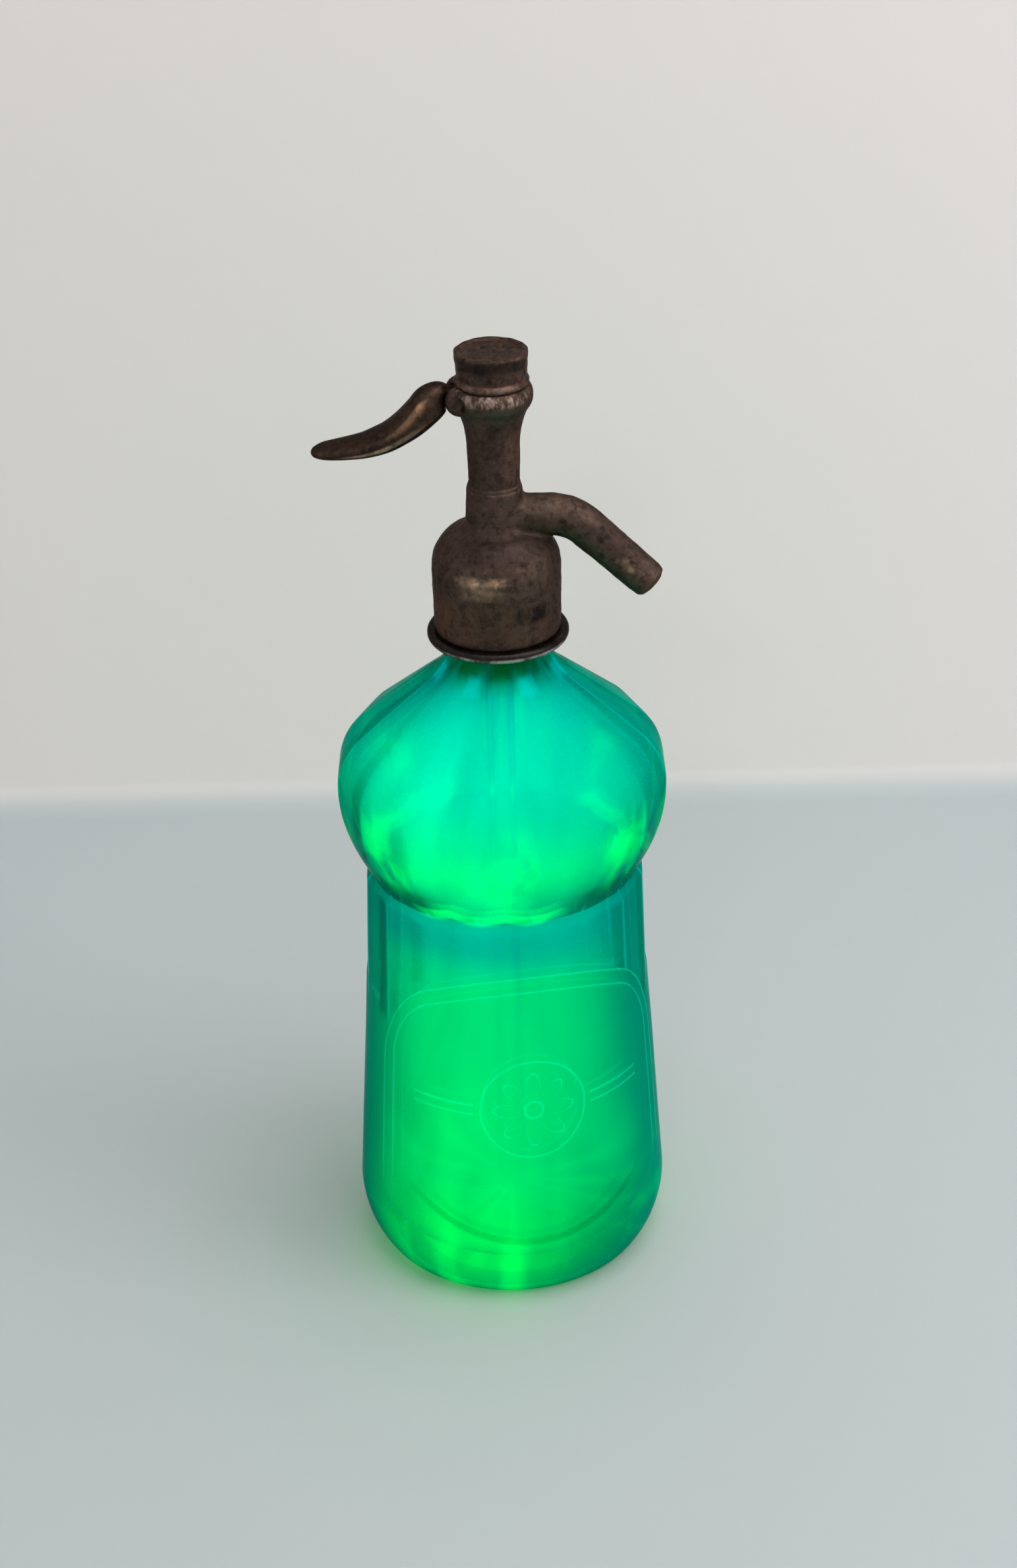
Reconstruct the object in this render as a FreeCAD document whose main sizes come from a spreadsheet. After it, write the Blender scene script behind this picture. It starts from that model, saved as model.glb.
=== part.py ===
"""Soda siphon: a moulded glass bottle under a cast head with a thumb lever and a sprung valve.

Units are millimetres and degrees. +Z is up, and the origin is the centre of the foot, on the
surface that the bottle stands on. The spout points along +X, the lever along -X.
"""
import FreeCAD, Part
import Sketcher
import math
import os
from collections import namedtuple
from types import SimpleNamespace

# Driving dimensions. Radii are from the vertical axis unless a comment says otherwise, and a
# height is measured from the level named before it, so the levels stack up from the foot.
SIZES = {
    # bottle, outside
    "foot_inner_r": 33.0, "foot_r": 42.8, "push_up": 5.0,
    "toe_r": 48.0, "toe_height": 2.8, "heel_r": 53.9, "heel_height": 19.9,
    "step_r": 48.5, "label_height": 81.8,
    "band_r": 47.2, "band_height": 38.5,
    "waist_r": 44.3, "waist_height": 3.1,
    "bulb_r": 55.2, "bulb_low_height": 36.4,
    "crown_r": 46.3, "crown_height": 18.7,
    "root_r": 22.5, "root_height": 19.3, "shoulder_slant": 40.0,
    "neck_r": 15.4, "neck_sweep": 15.0, "neck_height": 14.9,
    "lip_r": 16.8, "lip_bevel": 1.4, "lip_height": 8.6,
    # bottle, inside
    "glass_wall": 4.5, "bore_r": 10.5, "floor_thick": 11.0, "floor_corner": 15.0, "floor_rise": 3.0,
    # panels round the bulb and the band below it
    "panel_count": 16, "band_panel_count": 13, "band_panel_start": -45.0,
    "panel_depth": 0.85, "band_panel_depth": 0.7, "panel_fade": 0.6, "panel_runout": 4.0,
    # dip tube and the seal that hangs it under the valve
    "tube_r": 4.6, "tube_bore_r": 3.0, "tube_foot_gap": 4.0,
    "tube_clearance": 0.1, "tube_seal_height": 4.0,
    "tube_nut_flange_r": 8.4, "tube_nut_flange_height": 2.6, "tube_nut_flats": 6, "tube_nut_across": 14.6,
    "socket_r": 6.4, "socket_depth": 9.5, "socket_boss_r": 8.8, "socket_boss_drop": 8.0,
    # neck joint: gasket, split ring and collar nut
    "gasket_thick": 2.0, "split_ring_height": 3.2, "split_gap": 4.0, "ring_clearance": 0.15,
    "collar_r": 23.0, "collar_height": 4.2, "collar_round": 1.5, "collar_lip_r": 19.6,
    "collar_lip_height": 0.8, "thread_gap": 0.05,
    # head body: bell, sleeve and spout
    "bell_r": 20.8, "bell_mouth_r": 20.5, "bell_wall": 2.1, "bell_depth": 23.8, "bell_straight": 22.0,
    "shoulder_r": 13.0, "shoulder_height": 12.3,
    "sleeve_foot_r": 9.5, "sleeve_fillet": 3.5, "sleeve_r": 8.9,
    "web_thick": 4.5, "chamber_r": 6.0, "chamber_height": 15.0,
    "spigot_r": 6.95, "spigot_length": 6.1,
    "spout_root_r": 7.1, "spout_tip_r": 6.1, "spout_bore_r": 3.1, "spout_level": 14.8,
    "spout_run": 17.0, "spout_bend": 17.0, "spout_angle": 44.0, "spout_straight": 29.0,
    "spout_tip_round": 1.5,
    # valve
    "seat_r": 4.0, "seat_flange_r": 5.2, "seat_flange_thick": 0.8, "seat_nose_r": 3.3,
    "seat_nose_height": 1.0, "seat_bore_r": 2.3, "seat_gap": 0.1,
    "washer_r": 4.9, "washer_thick": 2.0, "holder_r": 5.3, "holder_height": 3.4, "holder_lip": 1.2,
    "screw_head_r": 1.8, "screw_head_height": 1.0, "screw_r": 1.1, "screw_length": 7.0,
    "stem_r": 2.5, "stem_clearance": 0.08, "stem_tail": 1.8,
    # stem packing inside the foot of the barrel
    "packing_r": 5.6, "gland_height": 2.5, "seal_height": 3.0, "packing_washer_thick": 1.0,
    "seal_clearance": 0.1,
    # spring and the nut that it presses on
    "spring_nut_gap": 2.0, "spring_nut_r": 4.7, "spring_nut_height": 2.8, "spring_room_r": 5.1,
    "spring_mean_r": 4.15, "spring_wire_r": 0.55, "spring_length": 14.5, "spring_turns": 6.5,
    # barrel: column with the lever boss
    "barrel_r": 8.1, "column_r": 8.45, "column_height": 13.6, "flare_r": 11.2, "flare_height": 12.3,
    "boss_r": 13.0, "boss_height": 4.8, "barrel_top_r": 11.3, "barrel_top_height": 3.2,
    "guide_height": 3.5, "lever_room_r": 6.2, "cap_neck_r": 8.8, "cap_neck_height": 5.6,
    "slot_clearance": 0.2, "slot_headroom": 0.7,
    # cap
    "cap_r": 11.5, "cap_height": 10.5, "cap_bead_r": 11.9, "cap_bead_height": 1.6, "cap_chamfer": 0.5,
    "cap_recess_r": 9.6, "cap_recess_depth": 0.7, "cap_washer_thick": 0.8,
    "spanner_hole_r": 1.2, "spanner_hole_spread": 6.0, "spanner_hole_depth": 1.8, "spanner_turn": 25.0,
    # lever; the pin lies below the top of the barrel, beside the axis
    "pin_offset": 9.8, "pin_drop": 4.0, "pin_r": 1.4, "pin_clearance": 0.06, "pin_length": 14.0,
    "hub_r": 2.6, "hub_width": 5.6, "tongue_tilt": 10.0, "tongue_width": 3.2, "tongue_thick": 2.0,
    "nose_r": 1.6, "mortise_clearance": 0.2, "stem_head_r": 4.0, "stem_head_wall": 1.7,
    # lever blade: for each section, the reach from the pin, the drop below it, the tilt of the
    # blade there, the half width and the half thickness
    "blade_reach_1": 1.6, "blade_drop_1": 0.0, "blade_tilt_1": 0.0, "blade_wide_1": 2.7, "blade_thick_1": 2.3,
    "blade_reach_2": 4.6, "blade_drop_2": 0.4, "blade_tilt_2": 12.0, "blade_wide_2": 3.0, "blade_thick_2": 2.6,
    "blade_reach_3": 8.2, "blade_drop_3": 1.6, "blade_tilt_3": 32.0, "blade_wide_3": 4.4, "blade_thick_3": 4.1,
    "blade_reach_4": 11.6, "blade_drop_4": 4.3, "blade_tilt_4": 46.0, "blade_wide_4": 5.2, "blade_thick_4": 3.9,
    "blade_reach_5": 16.0, "blade_drop_5": 9.3, "blade_tilt_5": 42.0, "blade_wide_5": 5.8, "blade_thick_5": 2.9,
    "blade_reach_6": 24.5, "blade_drop_6": 14.7, "blade_tilt_6": 21.0, "blade_wide_6": 6.2, "blade_thick_6": 2.1,
    "blade_reach_7": 37.0, "blade_drop_7": 17.3, "blade_tilt_7": 6.0, "blade_wide_7": 5.0, "blade_thick_7": 1.4,
    "blade_reach_8": 44.6, "blade_drop_8": 17.6, "blade_tilt_8": 0.0, "blade_wide_8": 3.2, "blade_thick_8": 1.0,
    "blade_reach_9": 47.2, "blade_drop_9": 17.5, "blade_tilt_9": 0.0, "blade_wide_9": 1.1, "blade_thick_9": 0.6,
}
BLADE_SECTIONS = 9
EDGE_MARGIN = 3.0  # how far a cutting outline reaches past the solid that it cuts
PIN_CHAMFER = 0.3
LEVER_TURN = FreeCAD.Placement(FreeCAD.Vector(), FreeCAD.Vector(0, 0, 1), 90)


def value_of(term):
    """Return the number behind a Size or a plain number."""
    return term.value if isinstance(term, Size) else float(term)


def text_of(term):
    """Return the spreadsheet formula behind a Size or a plain number."""
    return term.text if isinstance(term, Size) else repr(term)


class Size:
    """A size that is known both as a number and as a formula over the spreadsheet."""

    def __init__(self, value, text):
        self.value = value
        self.text = text

    def __add__(self, other):
        return Size(self.value + value_of(other), f"({self.text} + {text_of(other)})")

    def __sub__(self, other):
        return Size(self.value - value_of(other), f"({self.text} - {text_of(other)})")

    def __rsub__(self, other):
        return Size(value_of(other) - self.value, f"({text_of(other)} - {self.text})")

    def __mul__(self, other):
        return Size(self.value * value_of(other), f"({self.text} * {text_of(other)})")

    def __truediv__(self, other):
        return Size(self.value / value_of(other), f"({self.text} / {text_of(other)})")

    def __neg__(self):
        return Size(-self.value, f"(-{self.text})")

    __radd__ = __add__
    __rmul__ = __mul__


def sin_of(angle):
    return Size(math.sin(math.radians(angle.value)), f"sin({angle.text})")


def cos_of(angle):
    return Size(math.cos(math.radians(angle.value)), f"cos({angle.text})")


def tan_of(angle):
    return Size(math.tan(math.radians(angle.value)), f"tan({angle.text})")


def make_sheet(doc):
    """Write the driving dimensions to a spreadsheet and return them as Sizes."""
    sheet = doc.addObject("Spreadsheet::Sheet", "Sheet")
    for row, (name, number) in enumerate(SIZES.items(), start=1):
        sheet.set(f"A{row}", name)
        sheet.set(f"B{row}", str(number))
        sheet.setAlias(f"B{row}", name)
    doc.recompute()
    return SimpleNamespace(**{name: Size(float(number), f"Sheet.{name}") for name, number in SIZES.items()})


doc = FreeCAD.newDocument("SodaSiphon")
d = make_sheet(doc)

# Levels of the assembly, from the foot up.
heel_z = d.toe_height + d.heel_height
step_z = heel_z + d.label_height
band_z = step_z + d.band_height
waist_z = band_z + d.waist_height
equator_z = waist_z + d.bulb_low_height
crown_z = equator_z + d.crown_height
root_z = crown_z + d.root_height
neck_z = root_z + d.neck_sweep
under_lip_z = neck_z + d.neck_height
lip_z = under_lip_z + d.lip_height
ceiling_z = lip_z + d.gasket_thick
bell_mouth_z = ceiling_z - d.bell_depth
socket_foot_z = ceiling_z - d.socket_boss_drop
socket_top_z = socket_foot_z + d.socket_depth
chamber_floor_z = ceiling_z + d.web_thick
chamber_top_z = chamber_floor_z + d.chamber_height
joint_z = chamber_top_z + d.spigot_length
seat_z = chamber_floor_z + d.seat_flange_thick + d.seat_nose_height
washer_z = seat_z + d.seat_gap
seal_z = chamber_top_z + d.gland_height
packing_top_z = seal_z + d.seal_height + d.packing_washer_thick
spring_nut_z = packing_top_z + d.spring_nut_gap
spring_z = spring_nut_z + d.spring_nut_height
spring_room_top_z = spring_z + d.spring_length + d.seat_gap
guide_top_z = spring_room_top_z + d.guide_height
column_z = joint_z + d.column_height
flare_z = column_z + d.flare_height
boss_z = flare_z + d.boss_height
barrel_top_z = boss_z + d.barrel_top_height
pin_z = barrel_top_z - d.pin_drop
nose_z = pin_z - d.pin_offset * tan_of(d.tongue_tilt)
stem_top_z = nose_z + d.nose_r + d.mortise_clearance + d.stem_head_wall
stem_head_z = nose_z - d.nose_r - d.mortise_clearance - d.stem_head_wall
holder_z = washer_z + d.washer_thick
stem_foot_z = holder_z + d.holder_height - d.stem_tail
collar_top_z = bell_mouth_z - d.thread_gap
collar_z = collar_top_z - d.collar_height

# Radii that one piece takes from another.
bell_bore_r = d.bell_mouth_r - d.bell_wall
collar_thread_r = bell_bore_r - d.thread_gap
collar_bore_r = d.lip_r + d.ring_clearance
split_ring_r = collar_thread_r - d.ring_clearance
tube_hole_r = d.tube_r + d.tube_clearance
stem_hole_r = d.stem_r + d.stem_clearance
slot_half = d.hub_width / 2 + d.slot_clearance
cap_bore_r = d.cap_neck_r + d.thread_gap

# One leg of an outline ends at (x, z). It is straight unless "centre" says where the arc's centre
# lies: "level" or "plumb" with the leg's start or end, such as "level end".
Leg = namedtuple("Leg", "x z centre", defaults=(None,))


def new_body(label):
    body = doc.addObject("PartDesign::Body", label)
    body.Label = label
    return body


def origin_feature(body, role):
    return next(item for item in body.Origin.OriginFeatures if item.Role == role)


def new_sketch(body, name, role="XZ_Plane", axis=(0, 0, 1), **offset):
    """Attach a sketch to one of the body's own planes; offset gives x, y, z and turn as Sizes."""
    sketch = body.newObject("Sketcher::SketchObject", name)
    sketch.AttachmentSupport = [(origin_feature(body, role), "")]
    sketch.MapMode = "FlatFace"
    turn = value_of(offset.get("turn", 0))
    base = [value_of(offset.get(key, 0)) for key in "xyz"]
    rotation = FreeCAD.Rotation(FreeCAD.Vector(*axis), turn)
    sketch.AttachmentOffset = FreeCAD.Placement(FreeCAD.Vector(*base), rotation)
    for key, size in offset.items():
        if isinstance(size, Size):
            target = "Rotation.Angle" if key == "turn" else f"Base.{key}"
            sketch.setExpression(f"AttachmentOffset.{target}", size.text)
    return sketch


def pin_vertex(sketch, geometry, point, x, z):
    """Hold a vertex at (x, z) from the sketch's origin, by formula."""
    for kind, axis, size in (("DistanceX", -2, x), ("DistanceY", -1, z)):
        if value_of(size) == 0 and not isinstance(size, Size):
            sketch.addConstraint(Sketcher.Constraint("PointOnObject", geometry, point, axis))
            continue
        index = sketch.addConstraint(Sketcher.Constraint(kind, -1, 1, geometry, point, value_of(size)))
        sketch.setExpression(f"Constraints[{index}]", text_of(size))


def arc_centre(start, end, rule):
    """Return the centre of the arc from start to end that the rule describes."""
    side, at = rule.split()
    near, far = (start, end) if at == "start" else (end, start)
    dx, dz = far[0] - near[0], far[1] - near[1]
    if side == "level":
        return near[0] + (dx * dx + dz * dz) / (2 * dx), near[1]
    return near[0], near[1] + (dx * dx + dz * dz) / (2 * dz)


def draw(sketch, legs):
    """Draw a closed outline of straight legs and arcs, with each vertex held by formula."""
    corners = [(value_of(leg.x), value_of(leg.z)) for leg in legs]
    ends = []
    for index, leg in enumerate(legs):
        start, end = corners[index - 1], corners[index]
        a, b = FreeCAD.Vector(*start, 0), FreeCAD.Vector(*end, 0)
        if leg.centre is None:
            ends.append((sketch.addGeometry(Part.LineSegment(a, b)), 1, 2))
            continue
        centre = arc_centre(start, end, leg.centre)
        from_angle = math.atan2(start[1] - centre[1], start[0] - centre[0])
        to_angle = math.atan2(end[1] - centre[1], end[0] - centre[0])
        forward = (to_angle - from_angle) % (2 * math.pi) < math.pi
        first, last = (from_angle, to_angle) if forward else (to_angle, from_angle)
        radius = math.dist(start, centre)
        circle = Part.Circle(FreeCAD.Vector(*centre, 0), FreeCAD.Vector(0, 0, 1), radius)
        arc = sketch.addGeometry(Part.ArcOfCircle(circle, first, last))
        ends.append((arc, 1, 2) if forward else (arc, 2, 1))
        side, at = leg.centre.split()
        kind = "Horizontal" if side == "level" else "Vertical"
        point = ends[-1][1] if at == "start" else ends[-1][2]
        sketch.addConstraint(Sketcher.Constraint(kind, arc, 3, arc, point))
    for index, leg in enumerate(legs):
        geometry, _, finish = ends[index]
        following, begin, _ = ends[(index + 1) % len(ends)]
        sketch.addConstraint(Sketcher.Constraint("Coincident", geometry, finish, following, begin))
        pin_vertex(sketch, geometry, finish, leg.x, leg.z)


def draw_circle(sketch, x, z, radius):
    centre = FreeCAD.Vector(value_of(x), value_of(z), 0)
    circle = sketch.addGeometry(Part.Circle(centre, FreeCAD.Vector(0, 0, 1), radius.value))
    pin_vertex(sketch, circle, 3, x, z)
    index = sketch.addConstraint(Sketcher.Constraint("Radius", circle, radius.value))
    sketch.setExpression(f"Constraints[{index}]", radius.text)


def rectangle(sketch, low_x, high_x, low_z, high_z):
    draw(sketch, [Leg(low_x, low_z), Leg(high_x, low_z), Leg(high_x, high_z), Leg(low_x, high_z)])


def turn_solid(body, name, legs, angle=None, kind="Revolution"):
    """Revolve an outline about the vertical axis, as a solid or as a cut."""
    sketch = new_sketch(body, f"{name}_outline")
    draw(sketch, legs)
    feature = body.newObject(f"PartDesign::{kind}", name)
    feature.Profile = sketch
    feature.ReferenceAxis = (origin_feature(body, "Z_Axis"), [""])
    feature.Angle = 360.0
    if angle is not None:
        feature.Midplane = True
        feature.setExpression("Angle", angle.text)
    return feature


def turned(label, legs):
    """Make a piece that is one turned outline."""
    body = new_body(label)
    turn_solid(body, f"{label}_turned", legs)
    return body


def ring(label, inner_r, outer_r, low_z, high_z):
    """Make a plain turned ring or disc."""
    return turned(label, [Leg(inner_r, low_z), Leg(outer_r, low_z), Leg(outer_r, high_z), Leg(inner_r, high_z)])


def extrude_both_ways(body, name, sketch, length, kind="Pocket"):
    """Pad or pocket a sketch by half the length to each side of its plane."""
    feature = body.newObject(f"PartDesign::{kind}", name)
    feature.Profile = sketch
    feature.SideType = "Symmetric"
    feature.Length = length.value
    feature.setExpression("Length", length.text)
    return feature


def polar_pattern(body, name, feature, count, angle):
    """Repeat a feature round the vertical axis."""
    pattern = body.newObject("PartDesign::PolarPattern", name)
    pattern.Originals = [feature]
    pattern.Axis = (origin_feature(body, "Z_Axis"), [""])
    pattern.Angle = value_of(angle)
    if isinstance(angle, Size):
        pattern.setExpression("Angle", angle.text)
    pattern.Occurrences = int(count.value)
    pattern.setExpression("Occurrences", count.text)
    body.Tip = pattern
    return pattern


def make_bottle():
    """The bottle: a thick moulded wall, with flat panels round the bulb and the band below it."""
    body = new_body("bottle")
    floor_z = d.floor_thick
    inner_heel_r = d.heel_r - d.glass_wall
    slant_x, slant_z = d.glass_wall * sin_of(d.shoulder_slant), d.glass_wall * cos_of(d.shoulder_slant)
    turn_solid(body, "bottle_wall", [
        Leg(0, d.push_up), Leg(d.foot_inner_r, 0, "plumb start"), Leg(d.foot_r, 0),
        Leg(d.toe_r, d.toe_height, "plumb start"), Leg(d.heel_r, heel_z, "level end"),
        Leg(d.step_r, step_z), Leg(d.band_r, band_z), Leg(d.waist_r, waist_z),
        Leg(d.bulb_r, equator_z, "level end"), Leg(d.crown_r, crown_z, "level start"),
        Leg(d.root_r, root_z), Leg(d.neck_r, neck_z, "level end"),
        Leg(d.neck_r, under_lip_z), Leg(d.lip_r, under_lip_z + d.lip_bevel),
        Leg(d.lip_r, lip_z - d.lip_bevel), Leg(d.lip_r - d.lip_bevel, lip_z, "level start"),
        Leg(d.bore_r, lip_z), Leg(d.bore_r, neck_z),
        Leg(d.root_r - slant_x, root_z - slant_z, "level start"),
        Leg(d.crown_r - slant_x, crown_z - slant_z),
        Leg(d.bulb_r - d.glass_wall, equator_z, "level end"),
        Leg(d.waist_r - d.glass_wall, waist_z, "level start"),
        Leg(d.step_r - d.glass_wall, step_z), Leg(inner_heel_r, floor_z + d.floor_corner),
        Leg(inner_heel_r - d.floor_corner, floor_z, "level start"), Leg(0, floor_z + d.floor_rise),
    ])
    outer_x = d.bulb_r + EDGE_MARGIN
    bulb_sketch = new_sketch(body, "bulb_panel_outline", axis=(0, 1, 0), turn=-90.0)
    draw(bulb_sketch, [
        Leg(d.waist_r + d.panel_fade, waist_z), Leg(d.bulb_r - d.panel_depth, equator_z, "level end"),
        Leg(d.crown_r - d.panel_depth, crown_z, "level start"), Leg(d.root_r + d.panel_fade, root_z),
        Leg(outer_x, root_z), Leg(outer_x, waist_z),
    ])
    bulb_cut = extrude_both_ways(body, "bulb_panel", bulb_sketch, d.bulb_r)
    polar_pattern(body, "bulb_panels", bulb_cut, d.panel_count, 360.0)
    band_sketch = new_sketch(body, "band_panel_outline", axis=(0, 1, 0), turn=d.band_panel_start)
    draw(band_sketch, [
        Leg(d.step_r + d.panel_fade, step_z), Leg(d.step_r - d.band_panel_depth, step_z + d.panel_runout),
        Leg(d.band_r - d.band_panel_depth, waist_z), Leg(outer_x, waist_z), Leg(outer_x, step_z),
    ])
    band_cut = extrude_both_ways(body, "band_panel", band_sketch, d.band_r)
    band_span = 360.0 * (d.band_panel_count - 1) / d.panel_count
    polar_pattern(body, "band_panels", band_cut, d.band_panel_count, band_span)
    return body


def make_tube_fittings():
    """The glass dip tube, the rubber that grips it and the nut that squeezes the rubber."""
    tube_foot_z = d.floor_thick + d.floor_rise + d.tube_foot_gap
    ring("dip_tube", d.tube_bore_r, d.tube_r, tube_foot_z, socket_top_z)
    seal_foot_z = socket_top_z - d.tube_seal_height
    ring("tube_seal", d.tube_r, d.socket_r, seal_foot_z, socket_top_z)
    nut = new_body("tube_nut")
    spigot_r = d.socket_r - d.thread_gap
    flange_foot_z = socket_foot_z - d.tube_nut_flange_height
    turn_solid(nut, "tube_nut_turned", [
        Leg(tube_hole_r, flange_foot_z), Leg(d.tube_nut_flange_r, flange_foot_z),
        Leg(d.tube_nut_flange_r, socket_foot_z), Leg(spigot_r, socket_foot_z),
        Leg(spigot_r, seal_foot_z), Leg(tube_hole_r, seal_foot_z),
    ])
    flat = new_sketch(nut, "tube_nut_flat_outline")
    margin = d.tube_nut_flange_r + EDGE_MARGIN
    rectangle(flat, d.tube_nut_across / 2, margin, flange_foot_z - EDGE_MARGIN, socket_foot_z)
    flat_cut = extrude_both_ways(nut, "tube_nut_flat", flat, d.tube_nut_flange_r * 2)
    polar_pattern(nut, "tube_nut_hexagon", flat_cut, d.tube_nut_flats, 360.0)


def make_neck_joint():
    """The gasket on the lip, the two half rings under the lip and the nut that lifts them."""
    ring("neck_gasket", d.bore_r, d.lip_r, lip_z, ceiling_z)
    ring_foot_z = under_lip_z - d.split_ring_height
    inner_r = d.neck_r + d.ring_clearance
    ring_legs = [
        Leg(inner_r, ring_foot_z), Leg(split_ring_r, ring_foot_z), Leg(split_ring_r, under_lip_z),
        Leg(inner_r, under_lip_z),
    ]
    for label, heading in (("neck_ring_left", 180), ("neck_ring_right", 0)):
        half = new_body(label)
        turn_solid(half, f"{label}_turned", ring_legs, angle=180 - d.split_gap)
        half.Placement = FreeCAD.Placement(FreeCAD.Vector(), FreeCAD.Vector(0, 0, 1), heading)
    turned("collar_nut", [
        Leg(collar_bore_r, collar_z), Leg(d.collar_lip_r, collar_z),
        Leg(d.collar_lip_r, collar_z + d.collar_lip_height),
        Leg(d.collar_r - d.collar_round, collar_z + d.collar_lip_height),
        Leg(d.collar_r, collar_z + d.collar_lip_height + d.collar_round, "level end"),
        Leg(d.collar_r, collar_top_z - d.collar_round),
        Leg(d.collar_r - d.collar_round, collar_top_z, "level start"),
        Leg(collar_thread_r, collar_top_z), Leg(collar_thread_r, ring_foot_z),
        Leg(collar_bore_r, ring_foot_z),
    ])


def spout_bend_end():
    """Return x and z where the spout's centre line leaves its bend."""
    x = d.spout_run + d.spout_bend * sin_of(d.spout_angle)
    return x, ceiling_z + d.spout_level - d.spout_bend * (1 - cos_of(d.spout_angle))


def spout_tip():
    """Return x and z of the end of the spout's centre line."""
    x, z = spout_bend_end()
    return x + d.spout_straight * cos_of(d.spout_angle), z - d.spout_straight * sin_of(d.spout_angle)


def spout_pipe(body, name, kind, root_r, tip_r):
    """Sweep a round section along the spout's centre line, from the axis to the tip."""
    level_z = ceiling_z + d.spout_level
    bend_x, bend_z = spout_bend_end()
    tip_x, tip_z = spout_tip()
    path = new_sketch(body, f"{name}_path")
    start, bend_start = FreeCAD.Vector(0, level_z.value, 0), FreeCAD.Vector(d.spout_run.value, level_z.value, 0)
    bend_end = FreeCAD.Vector(bend_x.value, bend_z.value, 0)
    tip = FreeCAD.Vector(tip_x.value, tip_z.value, 0)
    centre = FreeCAD.Vector(d.spout_run.value, level_z.value - d.spout_bend.value, 0)
    circle = Part.Circle(centre, FreeCAD.Vector(0, 0, 1), d.spout_bend.value)
    level = path.addGeometry(Part.LineSegment(start, bend_start))
    quarter = math.pi / 2
    arc = path.addGeometry(Part.ArcOfCircle(circle, quarter - math.radians(d.spout_angle.value), quarter))
    slope = path.addGeometry(Part.LineSegment(bend_end, tip))
    path.addConstraint(Sketcher.Constraint("Coincident", level, 2, arc, 2))
    path.addConstraint(Sketcher.Constraint("Coincident", arc, 1, slope, 1))
    path.addConstraint(Sketcher.Constraint("Vertical", arc, 3, arc, 2))
    pin_vertex(path, level, 1, 0, level_z)
    pin_vertex(path, level, 2, d.spout_run, level_z)
    pin_vertex(path, arc, 1, bend_x, bend_z)
    pin_vertex(path, slope, 2, tip_x, tip_z)
    root = new_sketch(body, f"{name}_root", role="YZ_Plane")
    draw_circle(root, 0, level_z, root_r)
    mouth = new_sketch(body, f"{name}_mouth", role="YZ_Plane", axis=(1, 0, 0), y=tip_z, z=tip_x,
                       turn=d.spout_angle)
    draw_circle(mouth, 0, 0, tip_r)
    pipe = body.newObject(f"PartDesign::{kind}", name)
    pipe.Profile = root
    pipe.Spine = (path, ["Edge1", "Edge2", "Edge3"])
    pipe.Sections = [(mouth, [""])]
    pipe.Transformation = "Multisection"
    return pipe


def round_spout_tip(body, spout):
    """Round the outer edge of the spout's end face."""
    doc.recompute()
    tip_x, tip_z = spout_tip()
    tip = FreeCAD.Vector(tip_x.value, 0, tip_z.value)
    end_face = min(spout.Shape.Faces, key=lambda face: face.CenterOfMass.distanceToPoint(tip))
    names = [f"Edge{index}" for index, edge in enumerate(spout.Shape.Edges, start=1)
             if any(edge.isSame(end_edge) for end_edge in end_face.Edges)]
    rounding = body.newObject("PartDesign::Fillet", "spout_tip_round")
    rounding.Base = (spout, names)
    rounding.setExpression("Radius", d.spout_tip_round.text)


def make_head_body():
    """The casting: bell, sleeve and spout in one, bored for the valve."""
    body = new_body("head_body")
    shoulder_z = ceiling_z - d.bell_depth + d.bell_straight
    sleeve_z = shoulder_z + d.shoulder_height
    turn_solid(body, "casting", [
        Leg(0, bell_mouth_z), Leg(d.bell_mouth_r, bell_mouth_z), Leg(d.bell_r, shoulder_z),
        Leg(d.shoulder_r, sleeve_z, "level start"),
        Leg(d.sleeve_foot_r, sleeve_z + d.sleeve_fillet, "level end"),
        Leg(d.sleeve_r, joint_z), Leg(0, joint_z),
    ])
    spout = spout_pipe(body, "spout", "AdditivePipe", d.spout_root_r, d.spout_tip_r)
    round_spout_tip(body, spout)
    turn_solid(body, "bell_cavity", [
        Leg(0, bell_mouth_z), Leg(bell_bore_r, bell_mouth_z), Leg(bell_bore_r, ceiling_z),
        Leg(d.socket_boss_r, ceiling_z), Leg(d.socket_boss_r, socket_foot_z), Leg(0, socket_foot_z),
    ], kind="Groove")
    turn_solid(body, "valve_bore", [
        Leg(0, socket_foot_z), Leg(d.socket_r, socket_foot_z), Leg(d.socket_r, socket_top_z),
        Leg(d.seat_r, socket_top_z), Leg(d.seat_r, chamber_floor_z), Leg(d.chamber_r, chamber_floor_z),
        Leg(d.chamber_r, chamber_top_z), Leg(d.spigot_r, chamber_top_z), Leg(d.spigot_r, joint_z),
        Leg(0, joint_z),
    ], kind="Groove")
    spout_pipe(body, "spout_bore", "SubtractivePipe", d.spout_bore_r, d.spout_bore_r)
    return body


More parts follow.
